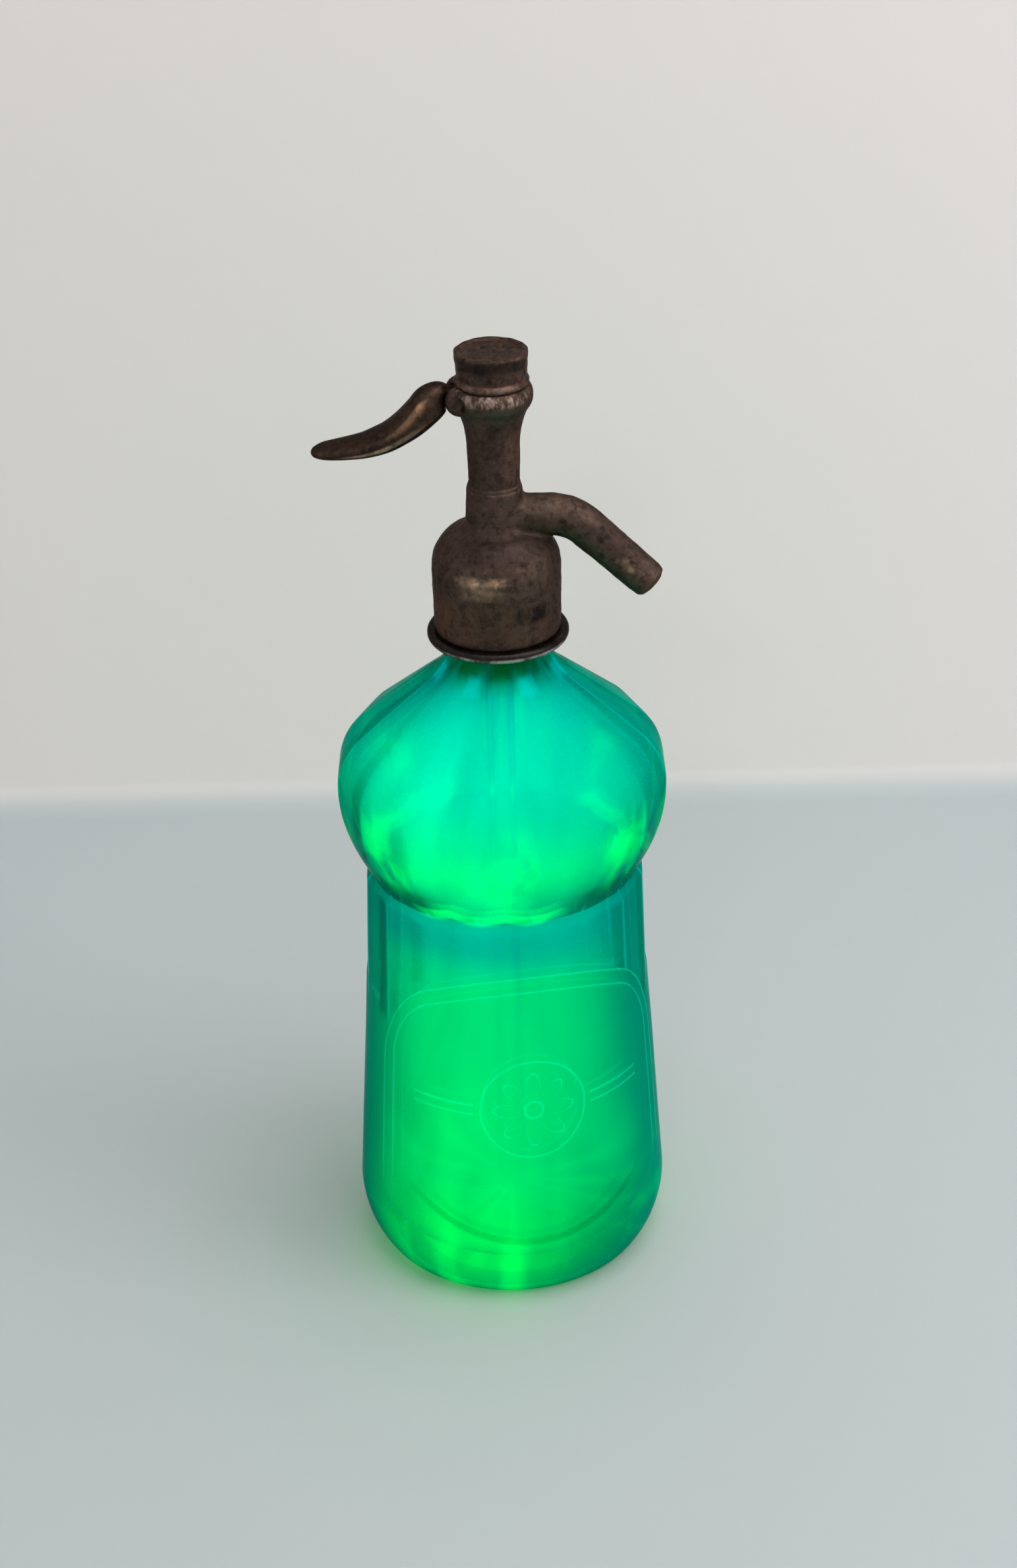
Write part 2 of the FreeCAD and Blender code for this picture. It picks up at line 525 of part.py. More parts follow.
def make_valve():
    """The seat and the moving valve: washer, holder, screw and stem."""
    flange_z = chamber_floor_z + d.seat_flange_thick
    turned("valve_seat", [
        Leg(d.seat_bore_r, socket_top_z), Leg(d.seat_r, socket_top_z), Leg(d.seat_r, chamber_floor_z),
        Leg(d.seat_flange_r, chamber_floor_z), Leg(d.seat_flange_r, flange_z),
        Leg(d.seat_nose_r, flange_z), Leg(d.seat_bore_r, seat_z, "level start"),
    ])
    ring("valve_washer", d.screw_r, d.washer_r, washer_z, holder_z)
    head_z = washer_z - d.screw_head_height
    turned("valve_screw", [
        Leg(0, head_z), Leg(d.screw_head_r, head_z), Leg(d.screw_head_r, washer_z),
        Leg(d.screw_r, washer_z), Leg(d.screw_r, washer_z + d.screw_length), Leg(0, washer_z + d.screw_length),
    ])
    holder_top_z = holder_z + d.holder_height
    turned("valve_holder", [
        Leg(d.screw_r, holder_z), Leg(d.washer_r, holder_z), Leg(d.washer_r, holder_z - d.holder_lip),
        Leg(d.holder_r, holder_z - d.holder_lip), Leg(d.holder_r, holder_top_z - d.holder_lip),
        Leg(d.stem_r + d.holder_lip, holder_top_z), Leg(d.stem_r, holder_top_z),
        Leg(d.stem_r, stem_foot_z), Leg(d.screw_r, stem_foot_z),
    ])
    stem = new_body("valve_stem")
    screw_hole_r = d.screw_r + d.thread_gap
    screw_hole_z = washer_z + d.screw_length + d.seat_gap
    turn_solid(stem, "valve_stem_turned", [
        Leg(screw_hole_r, stem_foot_z), Leg(d.stem_r, stem_foot_z), Leg(d.stem_r, stem_head_z),
        Leg(d.stem_head_r, stem_head_z), Leg(d.stem_head_r, stem_top_z), Leg(0, stem_top_z),
        Leg(0, screw_hole_z), Leg(screw_hole_r, screw_hole_z),
    ])
    mortise = new_sketch(stem, "mortise_outline", role="YZ_Plane")
    half_width = d.tongue_width / 2 + d.mortise_clearance
    half_height = d.nose_r + d.mortise_clearance
    rectangle(mortise, -half_width, half_width, nose_z - half_height, nose_z + half_height)
    extrude_both_ways(stem, "mortise", mortise, d.stem_head_r * 2 + EDGE_MARGIN)


def make_packing():
    """The stem's seal in the foot of the barrel, between a gland nut and a washer."""
    gland_r = d.packing_r - d.thread_gap
    loose_r = d.stem_r + d.seal_clearance
    ring("gland_nut", loose_r, gland_r, chamber_top_z, seal_z)
    ring("stem_seal", loose_r, d.packing_r, seal_z, seal_z + d.seal_height)
    ring("packing_washer", loose_r, d.packing_r, seal_z + d.seal_height, packing_top_z)


def make_spring():
    """The coil spring that shuts the valve, and the nut on the stem that it presses."""
    ring("spring_nut", d.stem_r, d.spring_nut_r, spring_nut_z, spring_z)
    body = new_body("valve_spring")
    wire = new_sketch(body, "wire_section")
    draw_circle(wire, d.spring_mean_r, spring_z + d.spring_wire_r, d.spring_wire_r)
    coil = body.newObject("PartDesign::AdditiveHelix", "spring_coil")
    coil.Profile = wire
    coil.ReferenceAxis = (origin_feature(body, "Z_Axis"), [""])
    coil.Mode = "height-turns-angle"
    rise = d.spring_length - 2 * d.spring_wire_r
    coil.Height = rise.value
    coil.Turns = d.spring_turns.value
    coil.setExpression("Height", rise.text)
    coil.setExpression("Turns", d.spring_turns.text)
    return body


def make_barrel():
    """The column that carries the lever in a slotted boss, with a threaded neck for the cap."""
    body = new_body("barrel")
    foot_r = d.spigot_r - d.thread_gap
    neck_top_z = barrel_top_z + d.cap_neck_height
    turn_solid(body, "barrel_column", [
        Leg(d.packing_r, chamber_top_z), Leg(foot_r, chamber_top_z), Leg(foot_r, joint_z),
        Leg(d.barrel_r, joint_z), Leg(d.column_r, column_z), Leg(d.flare_r, flare_z, "level start"),
        Leg(d.boss_r, boss_z, "level end"), Leg(d.barrel_top_r, barrel_top_z, "level start"),
        Leg(d.cap_neck_r, barrel_top_z), Leg(d.cap_neck_r, neck_top_z),
        Leg(d.lever_room_r, neck_top_z), Leg(d.lever_room_r, guide_top_z), Leg(stem_hole_r, guide_top_z),
        Leg(stem_hole_r, spring_room_top_z), Leg(d.spring_room_r, spring_room_top_z),
        Leg(d.spring_room_r, packing_top_z), Leg(d.packing_r, packing_top_z),
    ])
    slot = new_sketch(body, "slot_outline", role="YZ_Plane", z=-d.boss_r)
    reach = d.hub_r + d.slot_headroom
    rectangle(slot, -slot_half, slot_half, pin_z - reach, pin_z + reach)
    extrude_both_ways(body, "lever_slot", slot, d.boss_r * 2 - d.stem_head_r)
    pin_hole = new_sketch(body, "pin_hole_outline")
    draw_circle(pin_hole, -d.pin_offset, pin_z, d.pin_r)
    extrude_both_ways(body, "pin_hole", pin_hole, d.boss_r * 2 + EDGE_MARGIN)
    return body


def make_cap():
    """The screw cap with a spanner recess, and the washer under its crown."""
    foot_z = barrel_top_z + d.thread_gap
    top_z = foot_z + d.cap_height
    washer_foot_z = barrel_top_z + d.cap_neck_height
    crown_z = washer_foot_z + d.cap_washer_thick
    body = new_body("cap")
    turn_solid(body, "cap_turned", [
        Leg(cap_bore_r, foot_z), Leg(d.cap_bead_r, foot_z), Leg(d.cap_bead_r, foot_z + d.cap_bead_height / 2),
        Leg(d.cap_r, foot_z + d.cap_bead_height, "level start"), Leg(d.cap_r, top_z - d.cap_chamfer),
        Leg(d.cap_r - d.cap_chamfer, top_z), Leg(d.cap_recess_r, top_z),
        Leg(d.cap_recess_r - d.cap_chamfer, top_z - d.cap_recess_depth), Leg(0, top_z - d.cap_recess_depth),
        Leg(0, crown_z), Leg(cap_bore_r, crown_z),
    ])
    holes = new_sketch(body, "spanner_holes_outline", role="XY_Plane", z=top_z, turn=d.spanner_turn)
    for side in (-1, 1):
        draw_circle(holes, d.spanner_hole_spread * side, 0, d.spanner_hole_r)
    depth = d.cap_recess_depth + d.spanner_hole_depth
    extrude_both_ways(body, "spanner_holes", holes, depth * 2)
    ring("cap_washer", d.lever_room_r, d.cap_neck_r, washer_foot_z, crown_z)


def place(item, **formulas):
    """Bind properties of a Part primitive, such as Radius or Placement.Base.x, to formulas."""
    for name, size in formulas.items():
        item.setExpression(name.replace("__", "."), text_of(size))
    return item


def cross_cylinder(name, reach, z, radius, length):
    """Make a cylinder that lies across the lever, centred on it, in the lever's own frame."""
    item = doc.addObject("Part::Cylinder", name)
    item.Placement.Rotation = FreeCAD.Rotation(FreeCAD.Vector(0, 1, 0), 90)
    return place(item, Radius=radius, Height=length, Placement__Base__x=-length / 2,
                 Placement__Base__y=reach, Placement__Base__z=z)


def blade_section(number):
    """Make one section of the blade: an ellipse square to the blade's centre line."""
    reach, drop, tilt, wide, thick = (
        getattr(d, f"blade_{part}_{number}") for part in ("reach", "drop", "tilt", "wide", "thick"))
    section = doc.addObject("Part::Ellipse", f"blade_section_{number}")
    section.Placement.Rotation = FreeCAD.Rotation(FreeCAD.Vector(1, 0, 0), 90 - tilt.value)
    return place(section, MajorRadius=wide, MinorRadius=thick, Placement__Base__y=d.pin_offset + reach,
                 Placement__Base__z=pin_z - drop, Placement__Rotation__Angle=90 - tilt)


def make_lever():
    """The thumb lever: a horn-shaped blade, a hub on the pin and a tongue with a round nose.

    It is built pointing along its own +Y, then turned to point along -X.
    """
    blade = doc.addObject("Part::Loft", "blade")
    blade.Sections = [blade_section(number) for number in range(1, BLADE_SECTIONS + 1)]
    blade.Solid = True
    blade.Ruled = False
    hub = cross_cylinder("hub", d.pin_offset, pin_z, d.hub_r, d.hub_width)
    nose = cross_cylinder("nose", 0, nose_z, d.nose_r, d.tongue_width)
    tongue = doc.addObject("Part::Box", "tongue")
    tongue.Placement.Rotation = FreeCAD.Rotation(FreeCAD.Vector(1, 0, 0), d.tongue_tilt.value)
    half_thick = d.tongue_thick / 2
    place(tongue, Length=d.tongue_width, Width=d.pin_offset / cos_of(d.tongue_tilt), Height=d.tongue_thick,
          Placement__Base__x=-d.tongue_width / 2, Placement__Base__y=half_thick * sin_of(d.tongue_tilt),
          Placement__Base__z=nose_z - half_thick * cos_of(d.tongue_tilt),
          Placement__Rotation__Angle=d.tongue_tilt)
    arm = doc.addObject("Part::MultiFuse", "lever_arm")
    arm.Shapes = [blade, hub, tongue, nose]
    lever = doc.addObject("Part::Cut", "lever")
    lever.Base = arm
    lever.Tool = cross_cylinder("lever_bore", d.pin_offset, pin_z, d.pin_r + d.pin_clearance, d.boss_r * 2)
    lever.Placement = LEVER_TURN


def make_lever_pin():
    """The pin that the lever turns on, pressed into both cheeks of the boss."""
    shank = cross_cylinder("pin_shank", d.pin_offset, pin_z, d.pin_r, d.pin_length)
    pin = doc.addObject("Part::Chamfer", "lever_pin")
    pin.Base = shank
    pin.Edges = [(edge, PIN_CHAMFER, PIN_CHAMFER) for edge in (1, 3)]
    pin.Placement = LEVER_TURN


def write_pieces(names):
    """Check every object of the document, then write each named piece to its own file."""
    doc.recompute()
    for item in doc.Objects:
        if {"Invalid", "Error"} & set(item.State):
            raise RuntimeError(f"{item.Label} did not recompute: {item.State}")
    os.makedirs("parts", exist_ok=True)
    for name in names:
        shape = next(item for item in doc.Objects if item.Label == name).Shape
        if shape.isNull() or not shape.isValid() or not shape.Solids:
            raise RuntimeError(f"{name} has no valid solid")
        shape.exportStep(os.path.join("parts", f"{name}.step"))
        print(f"{name}: {len(shape.Solids)} solid, {shape.Volume:.1f} mm3")


make_bottle()
make_tube_fittings()
make_neck_joint()
make_head_body()
make_valve()
make_packing()
make_spring()
make_barrel()
make_cap()
make_lever()
make_lever_pin()
write_pieces([
    "bottle", "dip_tube", "tube_seal", "tube_nut", "neck_gasket", "neck_ring_left", "neck_ring_right",
    "collar_nut", "head_body", "valve_seat", "valve_washer", "valve_screw", "valve_holder", "valve_stem",
    "gland_nut", "stem_seal", "packing_washer", "spring_nut", "valve_spring", "barrel", "cap",
    "cap_washer", "lever", "lever_pin",
])
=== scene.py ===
"""Looks of a soda siphon: a fluted green glass bottle under a brown bronze head with a thumb lever.

The part's own frame is used throughout: +Z is up, the foot stands on z = 0, the spout points along
+X and the lever along -X. The sub-assemblies, the metals' belts and the etched panel are drawn in
millimetres and written in metres. The marks on the glass and the studio are given in metres.
"""

import logging
import math
from collections.abc import Callable, Sequence
from dataclasses import dataclass, field
from enum import Enum
from typing import Union

import bpy
import numpy as np
from mathutils import Euler, Matrix, Vector


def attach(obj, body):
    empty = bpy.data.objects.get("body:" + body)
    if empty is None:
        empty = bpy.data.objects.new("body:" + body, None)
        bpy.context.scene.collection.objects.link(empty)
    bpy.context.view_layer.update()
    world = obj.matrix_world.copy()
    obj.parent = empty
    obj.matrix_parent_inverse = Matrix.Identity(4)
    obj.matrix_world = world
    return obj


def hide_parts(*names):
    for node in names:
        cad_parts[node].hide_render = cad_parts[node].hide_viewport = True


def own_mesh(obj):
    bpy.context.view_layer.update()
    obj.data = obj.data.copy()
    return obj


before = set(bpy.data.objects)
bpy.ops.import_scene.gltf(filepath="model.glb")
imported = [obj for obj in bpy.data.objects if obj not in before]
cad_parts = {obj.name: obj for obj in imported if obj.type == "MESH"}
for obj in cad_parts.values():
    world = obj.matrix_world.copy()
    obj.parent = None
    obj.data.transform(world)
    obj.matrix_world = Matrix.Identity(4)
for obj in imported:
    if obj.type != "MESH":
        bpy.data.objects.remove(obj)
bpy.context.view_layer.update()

Colour = tuple[float, float, float]
Socket = bpy.types.NodeSocket
Value = Union[Socket, float, Colour, Sequence[float]]
MM = 0.001
PICTURE_SIZE = (1543, 2380)
SENSOR = 36.0
FLUTES = 16
PITCH = 2 * math.pi / FLUTES
FAR_OUT = 99.0
BLACK: Colour = (0.0, 0.0, 0.0)
log = logging.getLogger("soda_siphon")


class Body(str, Enum):
    """The moving bodies that a piece may ride on."""

    BOTTLE_AND_HEAD = "bottle_and_head"
    LEVER = "lever"
    VALVE = "valve"


class Arc(Enum):
    """Where the centre of an arc lies, seen from the ends of its leg."""

    STRAIGHT = "straight"
    LEVEL_START = "level start"
    LEVEL_END = "level end"
    PLUMB_START = "plumb start"


@dataclass(frozen=True)
class Zone:
    """A range of a value, with a soft edge beyond each of its ends."""

    low: float
    high: float
    soft: float


# ---------------------------------------------------------------------------------------------
# Shader graphs
# ---------------------------------------------------------------------------------------------


class Graph:
    """Places and links shader nodes in one node tree."""

    def __init__(self, tree: bpy.types.NodeTree) -> None:
        """Keep the tree that the nodes go in: a material's, a world's or a group's."""
        self.tree = tree

    def node(self, kind: str, **settings: object) -> bpy.types.Node:
        """Add a node.

        Args:
            kind: the node's type, without the leading "ShaderNode".
            settings: attributes to set on it.

        Returns:
            The new node.
        """
        added = self.tree.nodes.new("ShaderNode" + kind)
        for name, value in settings.items():
            setattr(added, name, value)
        return added

    def feed(self, socket: Socket, value: Value) -> None:
        """Link an output to an input, or set the input to a plain value.

        Args:
            socket: the input.
            value: an output socket, a number or a colour.
        """
        if isinstance(value, bpy.types.NodeSocket):
            self.tree.links.new(value, socket)
        elif socket.type == "RGBA" and len(value) == 3:
            socket.default_value = (*value, 1.0)
        else:
            socket.default_value = value

    def maths(self, operation: str, *values: Value, clamp: bool = False) -> Socket:
        """Work on numbers.

        Args:
            operation: the Math node's operation.
            values: its inputs in order.
            clamp: whether the result stays between 0 and 1.

        Returns:
            The result.
        """
        added = self.node("Math", operation=operation, use_clamp=clamp)
        for socket, value in zip(added.inputs, values):
            self.feed(socket, value)
        return added.outputs[0]

    def chain(self, operation: str, values: Sequence[Value], clamp: bool = False) -> Socket:
        """Work through numbers from the first to the last, two at a time.

        Args:
            operation: the Math node's operation.
            values: two or more numbers.
            clamp: whether the result stays between 0 and 1.

        Returns:
            The result.
        """
        result = values[0]
        for value in values[1:-1]:
            result = self.maths(operation, result, value)
        return self.maths(operation, result, values[-1], clamp=clamp)

    def times(self, *values: Value, clamp: bool = False) -> Socket:
        """Return the product of two or more numbers, kept between 0 and 1 if it's clamped."""
        return self.chain("MULTIPLY", values, clamp)

    def plus(self, *values: Value, clamp: bool = False) -> Socket:
        """Return the sum of two or more numbers, kept between 0 and 1 if it's clamped."""
        return self.chain("ADD", values, clamp)

    def minus(self, first: Value, second: Value, clamp: bool = False) -> Socket:
        """Return the first number less the second, kept between 0 and 1 if it's clamped."""
        return self.maths("SUBTRACT", first, second, clamp=clamp)

    def most(self, *values: Value) -> Socket:
        """Return the greatest of two or more numbers."""
        return self.chain("MAXIMUM", values)

    def size(self, value: Value) -> Socket:
        """Return a number without its sign."""
        return self.maths("ABSOLUTE", value)

    def vectors(self, operation: str, *values: Value) -> Socket:
        """Work on vectors.

        Args:
            operation: the Vector Math node's operation.
            values: its inputs in order.

        Returns:
            The result: a number for DOT_PRODUCT and LENGTH, otherwise a vector.
        """
        added = self.node("VectorMath", operation=operation)
        for socket, value in zip(added.inputs, values):
            self.feed(socket, value)
        return added.outputs["Value" if operation in ("DOT_PRODUCT", "LENGTH") else "Vector"]

    def mix(self, share: Value, low: Value, high: Value, blend: str = "MIX") -> Socket:
        """Mix two colours.

        Args:
            share: how much of the second colour shows.
            low: the colour at 0.
            high: the colour at 1.
            blend: the blend mode.

        Returns:
            The mixed colour.
        """
        added = self.node("Mix", data_type="RGBA", blend_type=blend, clamp_factor=True)
        for socket, value in zip((added.inputs[0], added.inputs[6], added.inputs[7]), (share, low, high)):
            self.feed(socket, value)
        return added.outputs[2]

    def span(self, value: Value, low: Value, high: Value, to_low: Value = 0.0, to_high: Value = 1.0) -> Socket:
        """Map a number from one range to another with soft ends.

        Args:
            value: the number.
            low: where the range starts.
            high: where the range ends; it may be below the start.
            to_low: the result at the start.
            to_high: the result at the end.

        Returns:
            The mapped number.
        """
        added = self.node("MapRange", interpolation_type="SMOOTHSTEP")
        for socket, item in zip(added.inputs, (value, low, high, to_low, to_high)):
            self.feed(socket, item)
        return added.outputs[0]

    def ramp(self, value: Value, *stops: tuple[float, Colour]) -> Socket:
        """Turn a number into a colour.

        Args:
            value: the number, from 0 to 1.
            stops: places from 0 to 1, each with its colour.

        Returns:
            The colour.
        """
        added = self.node("ValToRGB")
        elements = added.color_ramp.elements
        for _ in stops[2:]:
            elements.new(0.5)
        for element, (place, colour) in zip(elements, stops):
            element.position, element.color = place, (*colour, 1.0)
        self.feed(added.inputs[0], value)
        return added.outputs[0]

    def noise(self, place: Value, scale: Value, detail: float = 3.0, rough: float = 0.5, bend: float = 0.0) -> Socket:
        """Read a noise pattern.

        Args:
            place: the coordinates.
            scale: cycles per unit of the coordinates.
            detail: how many finer layers it has.
            rough: how strong the finer layers are.
            bend: how much the pattern is distorted.

        Returns:
            A number around 0.5.
        """
        added = self.node("TexNoise")
        for name, value in (("Vector", place), ("Scale", scale), ("Detail", detail), ("Roughness", rough),
                            ("Distortion", bend)):
            self.feed(added.inputs[name], value)
        return added.outputs["Fac"]

    def cells(self, place: Value, scale: Value) -> Socket:
        """Read a cell pattern.

        Args:
            place: the coordinates.
            scale: cells per unit of the coordinates.

        Returns:
            The distance to the nearest cell's middle.
        """
        added = self.node("TexVoronoi")
        self.feed(added.inputs["Vector"], place)
        self.feed(added.inputs["Scale"], scale)
        return added.outputs["Distance"]

    def bump(self, height: Value, depth: float, normal: Value | None = None) -> Socket:
        """Turn a height into a normal.

        Args:
            height: the height, from 0 to 1.
            depth: metres between heights 0 and 1.
            normal: the normal to start from, if not the mesh's own.

        Returns:
            The normal.
        """
        added = self.node("Bump")
        added.inputs["Strength"].default_value = 1.0
        added.inputs["Distance"].default_value = depth
        self.feed(added.inputs["Height"], height)
        if normal is not None:
            self.feed(added.inputs["Normal"], normal)
        return added.outputs[0]

    def place(self) -> Socket:
        """Return the object coordinates, which are metres in the part's frame."""
        return self.node("TexCoord").outputs["Object"]

    def split(self, place: Value) -> tuple[Socket, Socket, Socket]:
        """Take a vector apart.

        Args:
            place: the vector.

        Returns:
            Its x, y and z.
        """
        added = self.node("SeparateXYZ")
        self.feed(added.inputs[0], place)
        return added.outputs[0], added.outputs[1], added.outputs[2]

    def polar(self, place: Value) -> tuple[Socket, Socket]:
        """Return the heading of a place, in radians from the front, and its height."""
        x, y, z = self.split(place)
        return self.maths("ARCTAN2", x, self.times(y, -1.0)), z

    def wave(self, heading: Value, count: float, centre: float) -> Socket:
        """Return a wave with this many crests in a turn, one of them at the centre, in degrees."""
        return self.maths("COSINE", self.times(self.minus(heading, math.radians(centre)), count))

    def upright(self, heading: Value, height: Value, squash: float) -> Socket:
        """Return coordinates whose patterns follow the meridians, with the height squashed."""
        return self.join(self.maths("SINE", heading), self.maths("COSINE", heading), self.times(height, squash))

    def window(self, value: Value, zone: Zone) -> Socket:
        """Return 1 in a zone, fading out over its soft edges."""
        return self.times(self.span(value, zone.low - zone.soft, zone.low),
                          self.span(value, zone.high + zone.soft, zone.high))

    def output(self) -> bpy.types.Node:
        """Return the material's own output node."""
        return next(node for node in self.tree.nodes if node.type == "OUTPUT_MATERIAL")

    def join(self, x: Value, y: Value, z: Value) -> Socket:
        """Put a vector together.

        Args:
            x: its part along X.
            y: its part along Y.
            z: its part along Z.

        Returns:
            The vector.
        """
        added = self.node("CombineXYZ")
        for socket, value in zip(added.inputs, (x, y, z)):
            self.feed(socket, value)
        return added.outputs[0]


# How the shared effects weigh their clouds, where their edges and gaps lie, and how far they are drawn out.
CLOUD_SHARE, FRECKLE_SHARE, FRECKLE_SCALE = 0.55, 0.45, 7.0
EDGE_TURN, EDGE_GAPS = (0.004, 0.16), (0.36, 0.66)
PATCH_SCALE, PATCH_EDGE = 0.22, (0.5, 0.62)
BELT_FADE, BELT_STRETCH, BELT_GAPS = (1.0, 0.4), 0.4, (0.62, 0.44)
RING_STRETCH, GROOVE_SHARE, GRAIN_SHARE = 0.04, 0.45, 0.55


class Effect:
    """A shader node group with named inputs and outputs, built once and placed where it's wanted."""

    def __init__(self, name: str, inputs: dict[str, float | Colour], outputs: dict[str, str],
                 draw: Callable[[Graph, dict[str, Socket]], dict[str, Socket]]) -> None:
        """Build the group.

        Args:
            name: the group's name.
            inputs: each input's name with its usual value; a colour has three numbers.
            outputs: each output's name with "Float", "Color" or "Vector".
            draw: places the nodes, given the graph and its inputs, and returns the outputs.
        """
        self.tree = bpy.data.node_groups.new(name, "ShaderNodeTree")
        for label, value in inputs.items():
            kind = "Float" if isinstance(value, float) else "Color"
            socket = self.tree.interface.new_socket(label, in_out="INPUT", socket_type=f"NodeSocket{kind}")
            socket.default_value = value if isinstance(value, float) else (*value, 1.0)
        for label, kind in outputs.items():
            self.tree.interface.new_socket(label, in_out="OUTPUT", socket_type=f"NodeSocket{kind}")
        graph = Graph(self.tree)
        entry, leave = self.tree.nodes.new("NodeGroupInput"), self.tree.nodes.new("NodeGroupOutput")
        made = draw(graph, {label: entry.outputs[label] for label in inputs})
        for label, socket in made.items():
            self.tree.links.new(socket, leave.inputs[label])

    def on(self, graph: Graph, **values: Value) -> dict[str, Socket]:
        """Place the group in a graph.

        Args:
            graph: where it goes.
            values: its inputs by name, with "_" for a space.

        Returns:
            Its outputs by name.
        """
        added = graph.node("Group")
        added.node_tree = self.tree
        for name, value in values.items():
            graph.feed(added.inputs[name.replace("_", " ")], value)
        return {socket.name: socket for socket in added.outputs}


def draw_mottle(g: Graph, inputs: dict[str, Socket]) -> dict[str, Socket]:
    """Draw uneven staining: two colours in soft clouds with finer freckles in them.

    Args:
        g: the group's graph.
        inputs: Base, Stain, Scale and Contrast.

    Returns:
        Color and Mask.
    """
    place = g.place()
    clouds = g.noise(place, inputs["Scale"], 5.0, 0.62, 0.6)
    freckles = g.noise(place, g.times(inputs["Scale"], FRECKLE_SCALE), 3.0, 0.7)
    both = g.plus(g.times(clouds, CLOUD_SHARE), g.times(freckles, FRECKLE_SHARE))
    mask = g.plus(g.times(g.minus(both, 0.5), inputs["Contrast"]), 0.5, clamp=True)
    return {"Color": g.mix(mask, inputs["Base"], inputs["Stain"]), "Mask": mask}


def draw_edge_wear(g: Graph, inputs: dict[str, Socket]) -> dict[str, Socket]:
    """Draw rubbed edges: where a rounded normal leaves the real one, broken up by noise.

    Args:
        g: the group's graph.
        inputs: Width in metres, Scale and Amount.

    Returns:
        Mask, and Normal with the edge rounded.
    """
    bevel = g.node("Bevel", samples=4)
    g.feed(bevel.inputs["Radius"], inputs["Width"])
    rounded, skin = bevel.outputs[0], g.node("NewGeometry").outputs["Normal"]
    edge = g.span(g.minus(1.0, g.vectors("DOT_PRODUCT", rounded, skin)), *EDGE_TURN)
    broken = g.span(g.noise(g.place(), inputs["Scale"], 4.0, 0.65), *EDGE_GAPS)
    return {"Mask": g.times(edge, broken, inputs["Amount"], clamp=True), "Normal": rounded}


def draw_pits(g: Graph, inputs: dict[str, Socket]) -> dict[str, Socket]:
    """Draw casting pits and corrosion holes, in patches.

    Args:
        g: the group's graph.
        inputs: Scale, Size from 0 to 1, and Amount.

    Returns:
        Mask.
    """
    place = g.place()
    near = g.cells(place, inputs["Scale"])
    hole = g.maths("LESS_THAN", near, inputs["Size"])
    soft = g.times(hole, g.minus(1.0, g.maths("DIVIDE", near, inputs["Size"])))
    patch = g.span(g.noise(place, g.times(inputs["Scale"], PATCH_SCALE), 2.0), *PATCH_EDGE)
    return {"Mask": g.times(soft, patch, inputs["Amount"], clamp=True)}


def draw_belt(g: Graph, inputs: dict[str, Socket]) -> dict[str, Socket]:
    """Draw a broken belt between two levels where the skin leans one way, such as a painted shoulder highlight.

    Args:
        g: the group's graph.
        inputs: Low and High in metres, Scale, Broken from 0 to 1, Amount, the way that the skin faces where
            the belt is strongest, and Off and Full, how near to that way it starts and is whole.

    Returns:
        Mask.
    """
    x, y, level = g.split(g.place())
    low, high = inputs["Low"], inputs["High"]
    middle, half = g.times(g.plus(low, high), 0.5), g.times(g.minus(high, low), 0.5)
    belt = g.span(g.maths("DIVIDE", g.size(g.minus(level, middle)), half), *BELT_FADE)
    drawn_out = g.join(x, y, g.times(level, BELT_STRETCH))
    gaps = g.span(g.noise(drawn_out, inputs["Scale"], 4.0, 0.66), *BELT_GAPS)
    kept = g.minus(1.0, g.times(gaps, inputs["Broken"]))
    way = g.vectors("NORMALIZE", g.join(inputs["Way X"], inputs["Way Y"], inputs["Way Z"]))
    near = g.vectors("DOT_PRODUCT", g.node("NewGeometry").outputs["Normal"], way)
    lean = g.span(near, inputs["Off"], inputs["Full"])
    return {"Mask": g.times(belt, lean, kept, inputs["Amount"], clamp=True)}


def draw_tooling(g: Graph, inputs: dict[str, Socket]) -> dict[str, Socket]:
    """Draw the fine level grooves that turning leaves, and the grain of the skin under them.

    Args:
        g: the group's graph.
        inputs: Groove, the grooves per metre of height, and Grain, its cycles per metre.

    Returns:
        Height.
    """
    place = g.place()
    x, y, z = g.split(place)
    rings = g.join(g.times(x, RING_STRETCH), g.times(y, RING_STRETCH), z)
    grooves = g.noise(rings, inputs["Groove"], 4.0, 0.6)
    grain = g.noise(place, inputs["Grain"], 4.0, 0.6)
    return {"Height": g.plus(g.times(grooves, GROOVE_SHARE), g.times(grain, GRAIN_SHARE))}


